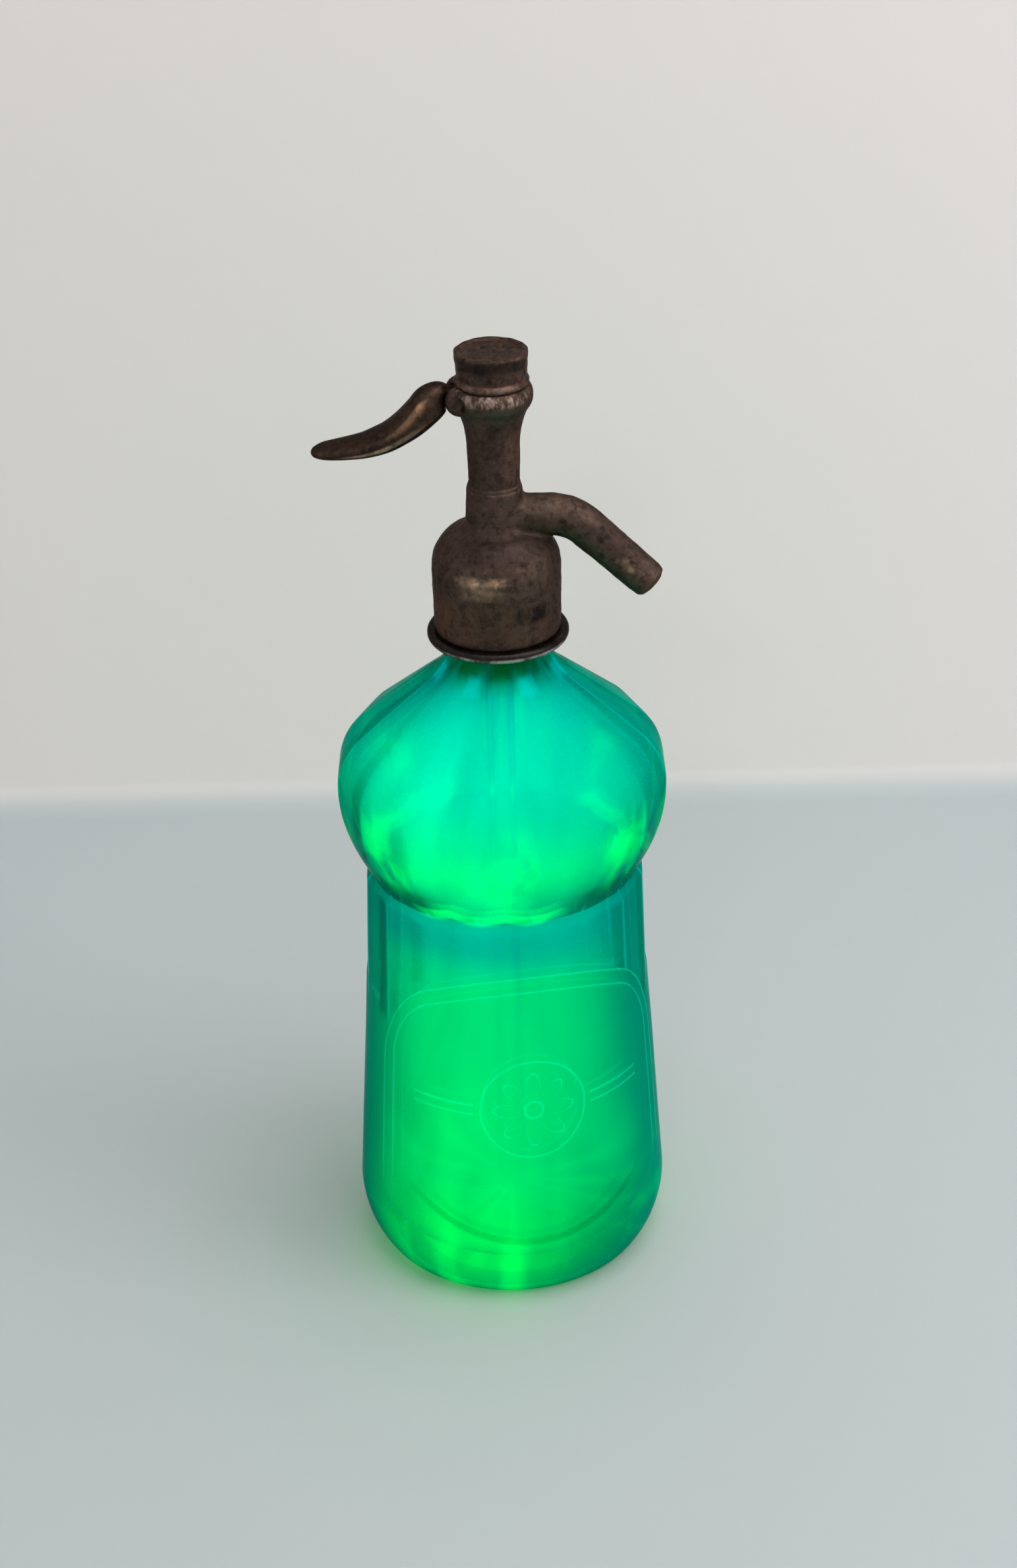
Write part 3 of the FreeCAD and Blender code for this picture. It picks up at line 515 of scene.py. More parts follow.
@dataclass(frozen=True)
class GlassMarks:
    """Where the glass's tint, painted light and painted shade lie.

    Heights are in metres, and colours by share of the ramps' height. A share is how strong a mark is, a turn is in
    degrees from the front, and a ridge's place is a share of the pitch between two ridges.
    """

    # Painted shade beside the ridges of the band's and the bulb's panels, in the zones below.
    band_panels: Zone = Zone(0.106, 0.15, 0.006)
    band_share: float = 0.65
    bulb_panels: tuple[float, float] = (0.16, 0.176)
    bulb_share: float = 0.45
    beside_ridge: Zone = Zone(0.72, 0.86, 0.16)
    # Painted highlight along the panels' ridges.
    ridge_sides: tuple[tuple[float, float], ...] = ((0.06, 0.01), (0.94, 0.99))
    streaks: tuple[float, float] = (0.2165, 0.2275)
    streak_share: float = 0.03
    # Painted shade in spots under the neck ring; the same folds place the painted highlight under the neck.
    under_ring: Zone = Zone(0.221, 0.2275, 0.003)
    ring_folds: int = 7
    ring_turn: float = 25.7
    ring_share: float = 0.7
    # Painted shade over the crease where the bulb meets the waist.
    crease: Zone = Zone(0.1515, 0.159, 0.005)
    crease_share: float = 0.8
    # Painted shade in an arc where the inner floor's edge shows through the front.
    inner_floor_shade: Zone = Zone(0.0719, 0.0733, 0.0016)
    floor_sag: float = 0.045
    floor_share: float = 0.38
    # Painted light in flares across the bulb.
    flares: Zone = Zone(0.168, 0.178, 0.014)
    flare_share: float = 0.8
    # Painted light in a scalloped arc over the waist.
    rim: Zone = Zone(0.1526, 0.1556, 0.0018)
    scallop: float = 0.0017
    # Painted light in beams up the heel.
    heel: Zone = Zone(0.003, 0.018, 0.016)
    beam_share: float = 0.38
    # Painted highlight under the neck ring.
    neck: Zone = Zone(0.2225, 0.225, 0.0025)
    bend: float = 0.35
    ramp_height: float = 0.26
    # The glass's own tint by height, running into painted shade under the neck ring at the top.
    tint: tuple[tuple[float, Colour], ...] = (
        (0.0, (0.0, 0.55, 0.22)), (0.36, (0.0, 0.52, 0.28)), (0.5, (0.0, 0.54, 0.46)), (0.57, (0.0, 0.56, 0.54)),
        (0.64, (0.0, 0.62, 0.38)), (0.74, (0.0, 0.64, 0.5)), (0.85, (0.0, 0.66, 0.64)), (0.862, (0.0, 0.5, 0.4)),
        (0.872, (0.0, 0.14, 0.04)))
    # Painted light by height, given off as emission.
    glow: tuple[tuple[float, Colour], ...] = (
        (0.0, (0.0, 0.9, 0.08)), (0.05, (0.0, 0.8, 0.06)), (0.11, (0.0, 0.6, 0.05)), (0.3, (0.0, 0.44, 0.06)),
        (0.5, (0.0, 0.44, 0.1)), (0.54, (0.0, 0.2, 0.14)), (0.575, (0.0, 0.26, 0.16)), (0.6, (0.0, 0.75, 0.2)),
        (0.66, (0.0, 0.95, 0.18)), (0.7, (0.0, 0.7, 0.2)), (0.76, (0.0, 0.5, 0.22)), (0.81, (0.0, 0.32, 0.2)),
        (0.85, (0.0, 0.14, 0.12)), (0.862, (0.0, 0.12, 0.08)), (0.872, (0.0, 0.06, 0.01)))
    streak_tint: Colour = (0.0, 0.26, 0.24)
    # Colours of the bright painted light and of the painted highlight under the neck.
    patch_light: Colour = (0.0, 1.35, 0.07)
    neck_light: Colour = (0.0, 0.26, 0.32)

    def by_height(self, g: Graph, z: Socket, stops: Sequence[tuple[float, Colour]]) -> Socket:
        """Return the colour that stops give at a height."""
        return g.ramp(g.maths("DIVIDE", z, self.ramp_height, clamp=True), *stops)


MARKS = GlassMarks()


def draw_glass_tint(g: Graph, inputs: dict[str, Socket]) -> dict[str, Socket]:
    """Draw the glass's colour by height, with soft streaks along the meridians and painted shade under the neck.

    Args:
        g: the group's graph.
        inputs: Streak, how strong the streaks are.

    Returns:
        Color; Shade, painted shade beside the glass's ridges, in spots under the ring and over the crease;
        and Ridge, a painted highlight along the ridges.
    """
    heading, z = g.polar(g.place())
    streaks = g.span(g.noise(g.upright(heading, z, 12.0), 2.6, 3.0, 0.5), 0.42, 0.62)
    gathered = g.span(z, *MARKS.streaks, MARKS.streak_share, 1.0)
    colour = g.mix(g.times(streaks, gathered, inputs["Streak"]), MARKS.by_height(g, z, MARKS.tint),
                   MARKS.streak_tint)
    turns = g.maths("FRACT", g.maths("DIVIDE", g.plus(heading, PITCH / 2), PITCH))
    panels = g.most(g.times(g.window(z, MARKS.band_panels), MARKS.band_share),
                    g.span(z, *MARKS.bulb_panels, 0.0, MARKS.bulb_share))
    # Painted shade beside the panels' ridges, and a painted highlight along them.
    beside = g.times(g.window(turns, MARKS.beside_ridge), panels)
    ridge = g.times(g.most(*(g.span(turns, *side) for side in MARKS.ridge_sides)), panels)
    # Painted shade in spots under the neck ring, and over the crease at the bulb's foot.
    ahead = g.wave(heading, 1, 0.0)
    folds = g.wave(heading, MARKS.ring_folds, MARKS.ring_turn)
    smudges_and_shade = g.times(g.span(folds, -0.1, -1.0, 0.0, MARKS.ring_share), g.window(z, MARKS.under_ring),
                      g.span(ahead, 0.9, 0.75))
    crease = g.times(g.window(z, MARKS.crease), g.span(ahead, 0.95, 0.82, 0.0, MARKS.crease_share))
    return {"Color": colour, "Shade": g.most(beside, smudges_and_shade, crease), "Ridge": ridge}


def draw_glass_glow(g: Graph, inputs: dict[str, Socket]) -> dict[str, Socket]:
    """Draw painted light in the glass: soft at each height, and bright in patches and along its rims.

    Args:
        g: the group's graph.
        inputs: Patch, how bright the patches are.

    Returns:
        Color, the soft painted light, and Bright, the painted patches, rims and highlight under the neck.
    """
    heading, z = g.polar(g.place())
    # The painted light is strongest on the front-left and weakest on the right, broken up by clouds.
    turned = g.plus(g.times(g.wave(heading, 2, -24.0), 0.26), 0.68, g.times(g.wave(heading, 1, -60.0), 0.27))
    cloud = g.span(g.noise(g.upright(heading, z, 6.0), 1.6, 3.0, 0.5, 0.4), 0.36, 0.64, 0.75, 1.25)
    level = g.times(turned, cloud)
    soft = g.mix(1.0, MARKS.by_height(g, z, MARKS.glow), g.join(level, level, level), "MULTIPLY")
    # Painted bright flares in the bulb, an arc over the waist and beams in the heel.
    torn = g.span(g.noise(g.upright(heading, z, 14.0), 4.0, 3.0, 0.5, 0.3), 0.38, 0.6)
    drift = g.minus(g.noise(g.upright(heading, z, 10.0), 2.5, 2.0), 0.5)
    bent = g.plus(heading, g.times(drift, MARKS.bend))
    flares = g.times(g.span(g.wave(bent, FLUTES / 2, 0.0), 0.0, 1.0), torn, g.window(z, MARKS.flares),
                     MARKS.flare_share)
    scalloped = g.plus(z, g.times(g.size(g.wave(heading, FLUTES / 2, 11.25)), MARKS.scallop))
    rim = g.times(g.window(scalloped, MARKS.rim), g.span(g.wave(heading, 3, -7.0), -0.25, 0.35),
                  g.plus(g.times(torn, 0.4), 0.6))
    beams = g.times(g.span(g.wave(bent, FLUTES - 1, -1.0), -0.6, 1.0, 0.0, MARKS.beam_share),
                    g.window(z, MARKS.heel), g.span(g.wave(heading, 3, -18.0), -0.3, 0.6))
    bright = g.mix(g.times(g.most(flares, rim, beams), inputs["Patch"]), BLACK, MARKS.patch_light)
    # Painted highlight under the neck ring.
    folds = g.wave(bent, MARKS.ring_folds, MARKS.ring_turn)
    neck = g.times(g.span(folds, 0.1, 1.0), g.window(z, MARKS.neck))
    return {"Color": soft, "Bright": g.mix(1.0, bright, g.mix(neck, BLACK, MARKS.neck_light), "ADD")}


@dataclass
class Effects:
    """Every effect that more than one finish uses."""

    mottle: Effect = field(default_factory=lambda: Effect(
        "mottle", {"Base": (0.1, 0.1, 0.1), "Stain": (0.2, 0.2, 0.2), "Scale": 60.0, "Contrast": 3.0},
        {"Color": "Color", "Mask": "Float"}, draw_mottle))
    edge_wear: Effect = field(default_factory=lambda: Effect(
        "edge_wear", {"Width": 0.0008, "Scale": 300.0, "Amount": 1.0}, {"Mask": "Float", "Normal": "Vector"},
        draw_edge_wear))
    pits: Effect = field(default_factory=lambda: Effect(
        "pits", {"Scale": 400.0, "Size": 0.3, "Amount": 1.0}, {"Mask": "Float"}, draw_pits))
    belt: Effect = field(default_factory=lambda: Effect(
        "belt", {"Low": 0.0, "High": 0.1, "Scale": 220.0, "Broken": 1.0, "Amount": 1.0, "Way X": 0.0, "Way Y": -1.0,
                 "Way Z": 0.0, "Off": -1.0, "Full": -0.9}, {"Mask": "Float"}, draw_belt))
    tooling: Effect = field(default_factory=lambda: Effect(
        "tooling", {"Groove": 1500.0, "Grain": 900.0}, {"Height": "Float"}, draw_tooling))
    glass_tint: Effect = field(default_factory=lambda: Effect(
        "glass_tint", {"Streak": 0.3}, {"Color": "Color", "Shade": "Float", "Ridge": "Float"}, draw_glass_tint))
    glass_glow: Effect = field(default_factory=lambda: Effect(
        "glass_glow", {"Patch": 0.5}, {"Color": "Color", "Bright": "Color"}, draw_glass_glow))


EFFECTS = Effects()


# ---------------------------------------------------------------------------------------------
# Finishes
# ---------------------------------------------------------------------------------------------


def new_material(name: str) -> tuple[bpy.types.Material, Graph, bpy.types.Node]:
    """Make a material with one Principled shader.

    Args:
        name: the material's name.

    Returns:
        The material, its graph and its Principled node.
    """
    material = bpy.data.materials.new(name)
    material.use_nodes = True
    return material, Graph(material.node_tree), material.node_tree.nodes["Principled BSDF"]


@dataclass(frozen=True)
class ToneAndHighlightBelt:
    """A belt on a metal's skin, for tones and painted highlights: where it is, which way it faces and how broken it
    is.
    """

    colour: Colour
    low: float
    high: float
    amount: float = 0.8
    way: tuple[float, float, float] = (0.0, -1.0, 0.0)
    off: float = -1.0
    full: float = -0.9
    scale: float = 200.0
    broken: float = 0.8

    def mask(self, g: Graph) -> Socket:
        """Draw the belt in a material's graph and return how much of it shows."""
        return EFFECTS.belt.on(g, Low=self.low * MM, High=self.high * MM, Scale=self.scale, Broken=self.broken,
                               Amount=self.amount, Way_X=self.way[0], Way_Y=self.way[1], Way_Z=self.way[2],
                               Off=self.off, Full=self.full)["Mask"]


@dataclass(frozen=True)
class AgedMetal:
    """Old bronze or brass: dark skin, rubbed edges, pits, smudges, belts of bloom, tone and painted highlight."""

    name: str
    base: Colour
    stain: Colour
    rubbed: Colour
    metallic: float = 0.75
    roughness: float = 0.5
    cloud_scale: float = 70.0
    contrast: float = 3.2
    wear_width: float = 0.9
    wear_scale: float = 260.0
    wear: float = 0.8
    pit_scale: float = 420.0
    pit_size: float = 0.34
    pits: float = 0.7
    tone_and_highlight_belts: tuple[ToneAndHighlightBelt, ...] = ()
    groove: float = 1500.0
    grain: float = 850.0
    skin_depth: float = 0.2
    smudges_and_shade: float = 0.6
    hollow_edge: tuple[float, float] = (0.49, 0.34)
    pit_colour: Colour = (0.01, 0.008, 0.007)
    hollow_colour: Colour = (0.012, 0.009, 0.008)
    glint: Colour = (0.3, 0.24, 0.2)
    specular: float = 0.3
    stain_dulls: float = 0.16
    wear_shines: float = 0.14
    pit_depth: float = 1.6

    def material(self) -> bpy.types.Material:
        """Build the material.

        Returns:
            The material.
        """
        material, g, shader = new_material(self.name)
        stain = EFFECTS.mottle.on(g, Base=self.base, Stain=self.stain, Scale=self.cloud_scale,
                                  Contrast=self.contrast)
        edge = EFFECTS.edge_wear.on(g, Width=self.wear_width * MM, Scale=self.wear_scale, Amount=self.wear)
        pits = EFFECTS.pits.on(g, Scale=self.pit_scale, Size=self.pit_size, Amount=self.pits)
        skin = EFFECTS.tooling.on(g, Groove=self.groove, Grain=self.grain)
        colour = g.mix(edge["Mask"], stain["Color"], self.rubbed)
        # Lay on the belts: the metal's own tones and painted highlights.
        for belt_mark in self.tone_and_highlight_belts:
            colour = g.mix(belt_mark.mask(g), colour, belt_mark.colour)
        colour = g.mix(pits["Mask"], colour, self.pit_colour)
        smudge = g.noise(g.place(), self.cloud_scale * 5.0, 3.0, 0.6, 0.5)
        colour = g.mix(g.span(smudge, *self.hollow_edge, 0.0, self.smudges_and_shade), colour, self.hollow_colour)
        g.feed(shader.inputs["Base Color"], colour)
        dull = g.plus(g.times(stain["Mask"], self.stain_dulls), self.roughness - self.stain_dulls / 2)
        g.feed(shader.inputs["Roughness"], g.minus(dull, g.times(edge["Mask"], self.wear_shines), clamp=True))
        shader.inputs["Metallic"].default_value = self.metallic
        shader.inputs["Specular Tint"].default_value = (*self.glint, 1.0)
        shader.inputs["Specular IOR Level"].default_value = self.specular
        height = g.minus(skin["Height"], g.times(pits["Mask"], self.pit_depth))
        g.feed(shader.inputs["Normal"], g.bump(height, self.skin_depth * MM, edge["Normal"]))
        return material


@dataclass(frozen=True)
class PlainMetal:
    """Turned brass or drawn steel inside the part, with faint tool marks and tarnish."""

    name: str
    base: Colour
    tarnish: Colour
    roughness: float = 0.32
    groove: float = 2600.0
    grain: float = 1500.0
    wear_width: float = 0.3
    wear: float = 0.5
    skin_depth: float = 0.02

    def material(self) -> bpy.types.Material:
        """Build the material.

        Returns:
            The material.
        """
        material, g, shader = new_material(self.name)
        stain = EFFECTS.mottle.on(g, Base=self.base, Stain=self.tarnish, Scale=160.0, Contrast=2.2)
        edge = EFFECTS.edge_wear.on(g, Width=self.wear_width * MM, Scale=500.0, Amount=self.wear)
        skin = EFFECTS.tooling.on(g, Groove=self.groove, Grain=self.grain)
        g.feed(shader.inputs["Base Color"], g.mix(edge["Mask"], stain["Color"], self.base))
        g.feed(shader.inputs["Roughness"], g.plus(g.times(stain["Mask"], 0.2), self.roughness))
        shader.inputs["Metallic"].default_value = 1.0
        g.feed(shader.inputs["Normal"], g.bump(skin["Height"], self.skin_depth * MM, edge["Normal"]))
        return material


@dataclass(frozen=True)
class SoftStuff:
    """Rubber, leather or pressed fibre, with a fine uneven grain."""

    name: str
    base: Colour
    stain: Colour
    roughness: float = 0.75
    grain: float = 1800.0
    depth: float = 0.05

    def material(self) -> bpy.types.Material:
        """Build the material.

        Returns:
            The material.
        """
        material, g, shader = new_material(self.name)
        stain = EFFECTS.mottle.on(g, Base=self.base, Stain=self.stain, Scale=240.0, Contrast=2.6)
        skin = EFFECTS.tooling.on(g, Groove=400.0, Grain=self.grain)
        g.feed(shader.inputs["Base Color"], stain["Color"])
        g.feed(shader.inputs["Roughness"], g.plus(g.times(stain["Mask"], 0.15), self.roughness))
        g.feed(shader.inputs["Normal"], g.bump(skin["Height"], self.depth * MM))
        return material


@dataclass(frozen=True)
class Cartouche:
    """The etched panel on the front of the bottle: its place, border lines and ornament, in millimetres."""

    centre_turn: float = 9.0
    half_width: float = 60.0
    top: float = 131.0
    arch: float = 21.0
    foot: float = 28.0
    corner: float = 22.0
    radius: float = 51.0
    line_gap: float = 5.5
    line_width: float = 0.9
    fade: tuple[float, float] = (4.0, 26.0)
    ornament_height: float = 80.0
    petals: int = 8
    petal_length: float = 9.0
    heart: float = 5.0
    ring_radii: tuple[float, float] = (18.5, 3.2)
    rule_gap: float = 1.8
    rule_ends: tuple[float, float] = (21.0, 44.0)

    def masks(self, g: Graph) -> dict[str, Socket]:
        """Draw the panel in a material's graph.

        Args:
            g: the graph.

        Returns:
            Frost, 1 inside the panel, and Line, 1 on its lines and ornament.
        """
        x, y, z = g.split(g.place())
        turn = math.radians(self.centre_turn)
        ahead = g.minus(g.times(x, math.sin(turn)), g.times(y, math.cos(turn)))
        aside = g.plus(g.times(x, math.cos(turn)), g.times(y, math.sin(turn)))
        across = g.times(g.maths("ARCTAN2", aside, ahead), self.radius)
        up = g.times(z, 1.0 / MM)
        share = g.maths("DIVIDE", across, self.half_width)
        arched = g.plus(up, g.times(share, share, self.arch))
        middle, half = (self.top + self.foot) / 2, (self.top - self.foot) / 2
        edge = self.box(g, across, g.minus(arched, middle), self.half_width, half, self.corner)
        faded = g.span(up, self.foot + self.fade[0], self.foot + self.fade[1])
        borders = g.times(g.most(self.stroke(g, edge, 0.0), self.stroke(g, edge, -self.line_gap)), faded)
        ornament = self.ornament(g, across, g.minus(up, self.ornament_height))
        return {"Frost": g.times(g.span(edge, 0.6, -0.6), faded), "Line": g.most(borders, ornament)}

    def box(self, g: Graph, u: Socket, v: Socket, half_u: float, half_v: float, corner: float) -> Socket:
        """Return the distance to a rounded box, below 0 inside it.

        Args:
            g: the graph.
            u: the place across, from the box's centre.
            v: the place up, from the box's centre.
            half_u: half the box's width.
            half_v: half the box's height.
            corner: the corners' radius.

        Returns:
            The distance.
        """
        over_u, over_v = g.minus(g.size(u), half_u - corner), g.minus(g.size(v), half_v - corner)
        beyond = g.join(g.most(over_u, 0.0), g.most(over_v, 0.0), 0.0)
        inside = g.maths("MINIMUM", g.most(over_u, over_v), 0.0)
        return g.minus(g.plus(g.vectors("LENGTH", beyond), inside), corner)

    def stroke(self, g: Graph, distance: Socket, at: float) -> Socket:
        """Return 1 where a distance is near a value, as a line of the panel's line width."""
        return g.span(g.size(g.minus(distance, at)), self.line_width * 0.75, self.line_width * 0.25)

    def ornament(self, g: Graph, u: Socket, v: Socket) -> Socket:
        """Draw a plain rosette in a ring with a ruled line on each side of it.

        Args:
            g: the graph.
            u: the place across, from the ornament's centre.
            v: the place up, from the ornament's centre.

        Returns:
            1 on the ornament.
        """
        reach = g.vectors("LENGTH", g.join(u, v, 0.0))
        lobes = g.size(g.maths("COSINE", g.times(g.maths("ARCTAN2", v, u), self.petals / 2)))
        flower = self.stroke(g, g.minus(reach, g.plus(g.times(lobes, self.petal_length), self.heart)), 0.0)
        rings = g.most(*(self.stroke(g, reach, radius) for radius in self.ring_radii))
        start, end = self.rule_ends
        beside = g.times(g.maths("GREATER_THAN", reach, start), g.maths("LESS_THAN", g.size(u), end))
        rules = g.times(self.stroke(g, g.size(v), self.rule_gap), beside)
        return g.most(flower, rings, rules)


@dataclass(frozen=True)
class BottleGlass:
    """Green moulded glass with an etched panel on its front, and painted light and shade in its colour and emission.
    """

    name: str = "green_glass"
    cartouche: Cartouche = Cartouche()
    streak: float = 0.7
    patch: float = 0.85
    frosted: Colour = (0.0, 0.6, 0.34)
    # Painted shade toward the glass's grazing edges.
    aslant: Colour = (0.0, 0.42, 0.36)
    shaded: Colour = (0.0, 0.2, 0.12)
    # Painted highlight on the ridges.
    ridge_highlight: Colour = (0.0, 0.75, 0.66)
    lined: Colour = (0.0, 0.9, 0.55)
    # Painted light along the etched lines and the ridges.
    line_light: Colour = (0.0, 0.8, 0.4)
    ridge_light: Colour = (0.0, 0.45, 0.36)
    line_share: float = 0.5
    line_light_share: float = 0.22
    line_height: float = 0.4
    ridge_light_share: float = 0.5
    sides_from: tuple[float, float] = (0.25, 0.6)
    sides_share: float = 0.8
    aslant_from: tuple[float, float] = (0.2, 0.8)
    # Painted light shows most where the glass faces the view and fades toward its edges.
    lit_from: tuple[float, float] = (0.92, 0.15)
    glint: Colour = (0.05, 1.0, 0.72)
    specular: float = 0.1
    roughness: float = 0.05
    frost: float = 0.25
    transmission: float = 0.65
    bending: float = 1.012
    density: float = 300.0
    absorbed: Colour = (0.02, 0.97, 0.93)
    # Strength of the painted light that the glass gives off.
    glow: float = 0.5
    ripple_depth: float = 0.35

    def floor_shade_arc(self, g: Graph, heading: Socket, z: Socket) -> Socket:
        """Draw painted shade along the inner floor's edge, low on the front and sagging in the middle.

        Args:
            g: the graph.
            heading: the heading in radians from the front.
            z: the height.

        Returns:
            How dark the painted shade is.
        """
        ahead = g.wave(heading, 1, 8.0)
        sagged = g.plus(z, g.times(ahead, MARKS.floor_sag))
        return g.times(g.window(sagged, MARKS.inner_floor_shade), g.span(ahead, 0.6, 0.85, 0.0, MARKS.floor_share))

    def material(self) -> bpy.types.Material:
        """Build the material.

        Returns:
            The material.
        """
        material, g, shader = new_material(self.name)
        panel = self.cartouche.masks(g)
        tint = EFFECTS.glass_tint.on(g, Streak=self.streak)
        glow = EFFECTS.glass_glow.on(g, Patch=self.patch)
        layer = g.node("LayerWeight")
        layer.inputs["Blend"].default_value = 0.5
        facing = layer.outputs["Facing"]
        heading, z = g.polar(g.place())
        sides = g.minus(g.span(facing, *self.sides_from, 0.0, self.sides_share), panel["Frost"], clamp=True)
        # Painted shade from the tint's marks, toward the sides, and in the arc of the inner floor.
        shade = g.most(g.times(tint["Shade"], sides), self.floor_shade_arc(g, heading, z))
        ridge = g.times(tint["Ridge"], sides)
        colour = tint["Color"]
        # Colour, then the frosted panel, painted edge shade, painted shade, painted ridge highlight and etched lines.
        for share, over in ((panel["Frost"], self.frosted), (g.span(facing, *self.aslant_from), self.aslant),
                            (shade, self.shaded), (ridge, self.ridge_highlight),
                            (g.times(panel["Line"], self.line_share), self.lined)):
            colour = g.mix(share, colour, over)
        g.feed(shader.inputs["Base Color"], colour)
        g.feed(shader.inputs["Roughness"], g.plus(g.times(panel["Frost"], self.frost), self.roughness))
        shader.inputs["Transmission Weight"].default_value = self.transmission
        shader.inputs["IOR"].default_value = self.bending
        shader.inputs["Specular Tint"].default_value = (*self.glint, 1.0)
        shader.inputs["Specular IOR Level"].default_value = self.specular
        # The emission is painted light: soft light by height, lit lines and ridges, and bright patches.
        soft = g.mix(g.times(g.span(facing, *self.lit_from), g.minus(1.0, shade)), BLACK, glow["Color"])
        soft = g.mix(g.times(panel["Line"], self.line_light_share), soft, self.line_light)
        soft = g.mix(g.times(ridge, self.ridge_light_share), soft, self.ridge_light)
        g.feed(shader.inputs["Emission Color"], g.mix(1.0, soft, glow["Bright"], "ADD"))
        shader.inputs["Emission Strength"].default_value = self.glow
        ripple = g.noise(g.upright(heading, z, 7.0), 3.0, 3.0, 0.5)
        height = g.plus(g.times(panel["Line"], self.line_height), ripple)
        g.feed(shader.inputs["Normal"], g.bump(height, self.ripple_depth * MM))
        volume = g.node("VolumeAbsorption")
        volume.inputs["Color"].default_value = (*self.absorbed, 1.0)
        volume.inputs["Density"].default_value = self.density
        g.feed(g.output().inputs["Volume"], volume.outputs[0])
        return material


@dataclass(frozen=True)
class TubeGlass:
    """Thin drawn glass of the dip tube, with painted shade along its edges."""

    name: str = "tube_glass"
    base: Colour = (0.62, 0.95, 0.86)
    # Painted shade along the tube's edges.
    edge: Colour = (0.0, 0.06, 0.05)

    def material(self) -> bpy.types.Material:
        """Build the material.

        Returns:
            The material.
        """
        material, g, shader = new_material(self.name)
        facing = g.node("LayerWeight")
        facing.inputs["Blend"].default_value = 0.5
        g.feed(shader.inputs["Base Color"], g.mix(g.span(facing.outputs["Facing"], 0.4, 0.75), self.base, self.edge))
        shader.inputs["Roughness"].default_value = 0.05
        shader.inputs["Transmission Weight"].default_value = 1.0
        shader.inputs["IOR"].default_value = 1.5
        g.feed(shader.inputs["Normal"], g.bump(g.noise(g.place(), 90.0, 2.0), 0.1 * MM))
        return material


# ---------------------------------------------------------------------------------------------
# Meshes
# ---------------------------------------------------------------------------------------------


@dataclass(frozen=True)
class Leg:
    """One leg of an outline: where it ends and how it gets there."""

    r: float
    z: float
    arc: Arc = Arc.STRAIGHT


def arc_points(start: tuple[float, float], leg: Leg, step: float) -> list[tuple[float, float]]:
    """Return points along a leg, without its start.

    Args:
        start: where the leg starts.
        leg: the leg.
        step: about how far apart the points are.

    Returns:
        The points, the leg's end last.
    """
    end = (leg.r, leg.z)
    if leg.arc is Arc.STRAIGHT:
        count = max(1, math.ceil(math.dist(start, end) / step))
        return [tuple(a + (b - a) * i / count for a, b in zip(start, end)) for i in range(1, count + 1)]
    side, at = leg.arc.value.split()
    near, far = (start, end) if at == "start" else (end, start)
    dr, dz = far[0] - near[0], far[1] - near[1]
    across = (dr * dr + dz * dz) / 2
    centre = (near[0] + across / dr, near[1]) if side == "level" else (near[0], near[1] + across / dz)
    first = math.atan2(start[1] - centre[1], start[0] - centre[0])
    sweep = (math.atan2(end[1] - centre[1], end[0] - centre[0]) - first + math.pi) % (2 * math.pi) - math.pi
    radius = math.dist(start, centre)
    count = max(2, math.ceil(abs(sweep) * radius / step))
    return [(centre[0] + radius * math.cos(first + sweep * i / count),
             centre[1] + radius * math.sin(first + sweep * i / count)) for i in range(1, count + 1)]


def outline(legs: Sequence[Leg], step: float, soften: float = 0.0) -> np.ndarray:
    """Sample an outline and soften its corners.

    Args:
        legs: the first gives the start, the others follow on.
        step: about how far apart the points are.
        soften: how far along the outline a corner is rounded, or 0 for sharp corners.

    Returns:
        Rows of radius and height.
    """
    points: list[tuple[float, float]] = [(legs[0].r, legs[0].z)]
    for leg in legs[1:]:
        points += arc_points(points[-1], leg, step)
    path = np.array(points)
    if soften:
        reach = max(1, round(3 * soften / step))
        weights = np.exp(-0.5 * (np.arange(-reach, reach + 1) * step / soften) ** 2)
        padded = np.concatenate([2 * path[:1] - path[reach:0:-1], path, 2 * path[-1:] - path[-2:-reach - 2:-1]])
        path = np.stack([np.convolve(padded[:, k], weights / weights.sum(), "valid") for k in (0, 1)], axis=1)
        path[0], path[-1] = points[0], points[-1]
    return path


def grid_object(name: str, rows: np.ndarray, wrap_rows: bool = False) -> bpy.types.Object:
    """Make a closed mesh object from rings of points.

    Args:
        name: the object's name.
        rows: the points in millimetres, as (ring, point round the ring, xyz).
        wrap_rows: whether the last ring joins the first; otherwise each of them is closed with a fan.

    Returns:
        The object, smooth shaded.
    """
    rings, around, _ = rows.shape
    vertices = (rows.reshape(-1, 3) * MM).tolist()
    pairs = rings if wrap_rows else rings - 1
    lower, turn = np.meshgrid(np.arange(pairs), np.arange(around), indexing="ij")
    upper, beside = (lower + 1) % rings, (turn + 1) % around
    faces = np.stack([lower * around + turn, lower * around + beside, upper * around + beside,
                      upper * around + turn], axis=-1).reshape(-1, 4).tolist()
    if not wrap_rows:
        for ring, order in ((0, -1), (rings - 1, 1)):
            vertices.append((rows[ring].mean(axis=0) * MM).tolist())
            centre = len(vertices) - 1
            loop = [ring * around + i for i in range(around)][::order]
            faces += [[a, b, centre] for a, b in zip(loop, loop[1:] + loop[:1])]
    mesh = bpy.data.meshes.new(name)
    mesh.from_pydata(vertices, [], faces)
    mesh.validate()
    mesh.shade_smooth()
    made = bpy.data.objects.new(name, mesh)
    bpy.context.scene.collection.objects.link(made)
    return made


def headings(count: int) -> np.ndarray:
    """Return evenly spaced headings round a full turn, in radians, as one row."""
    return np.linspace(0.0, 2 * math.pi, count, endpoint=False)[None, :]


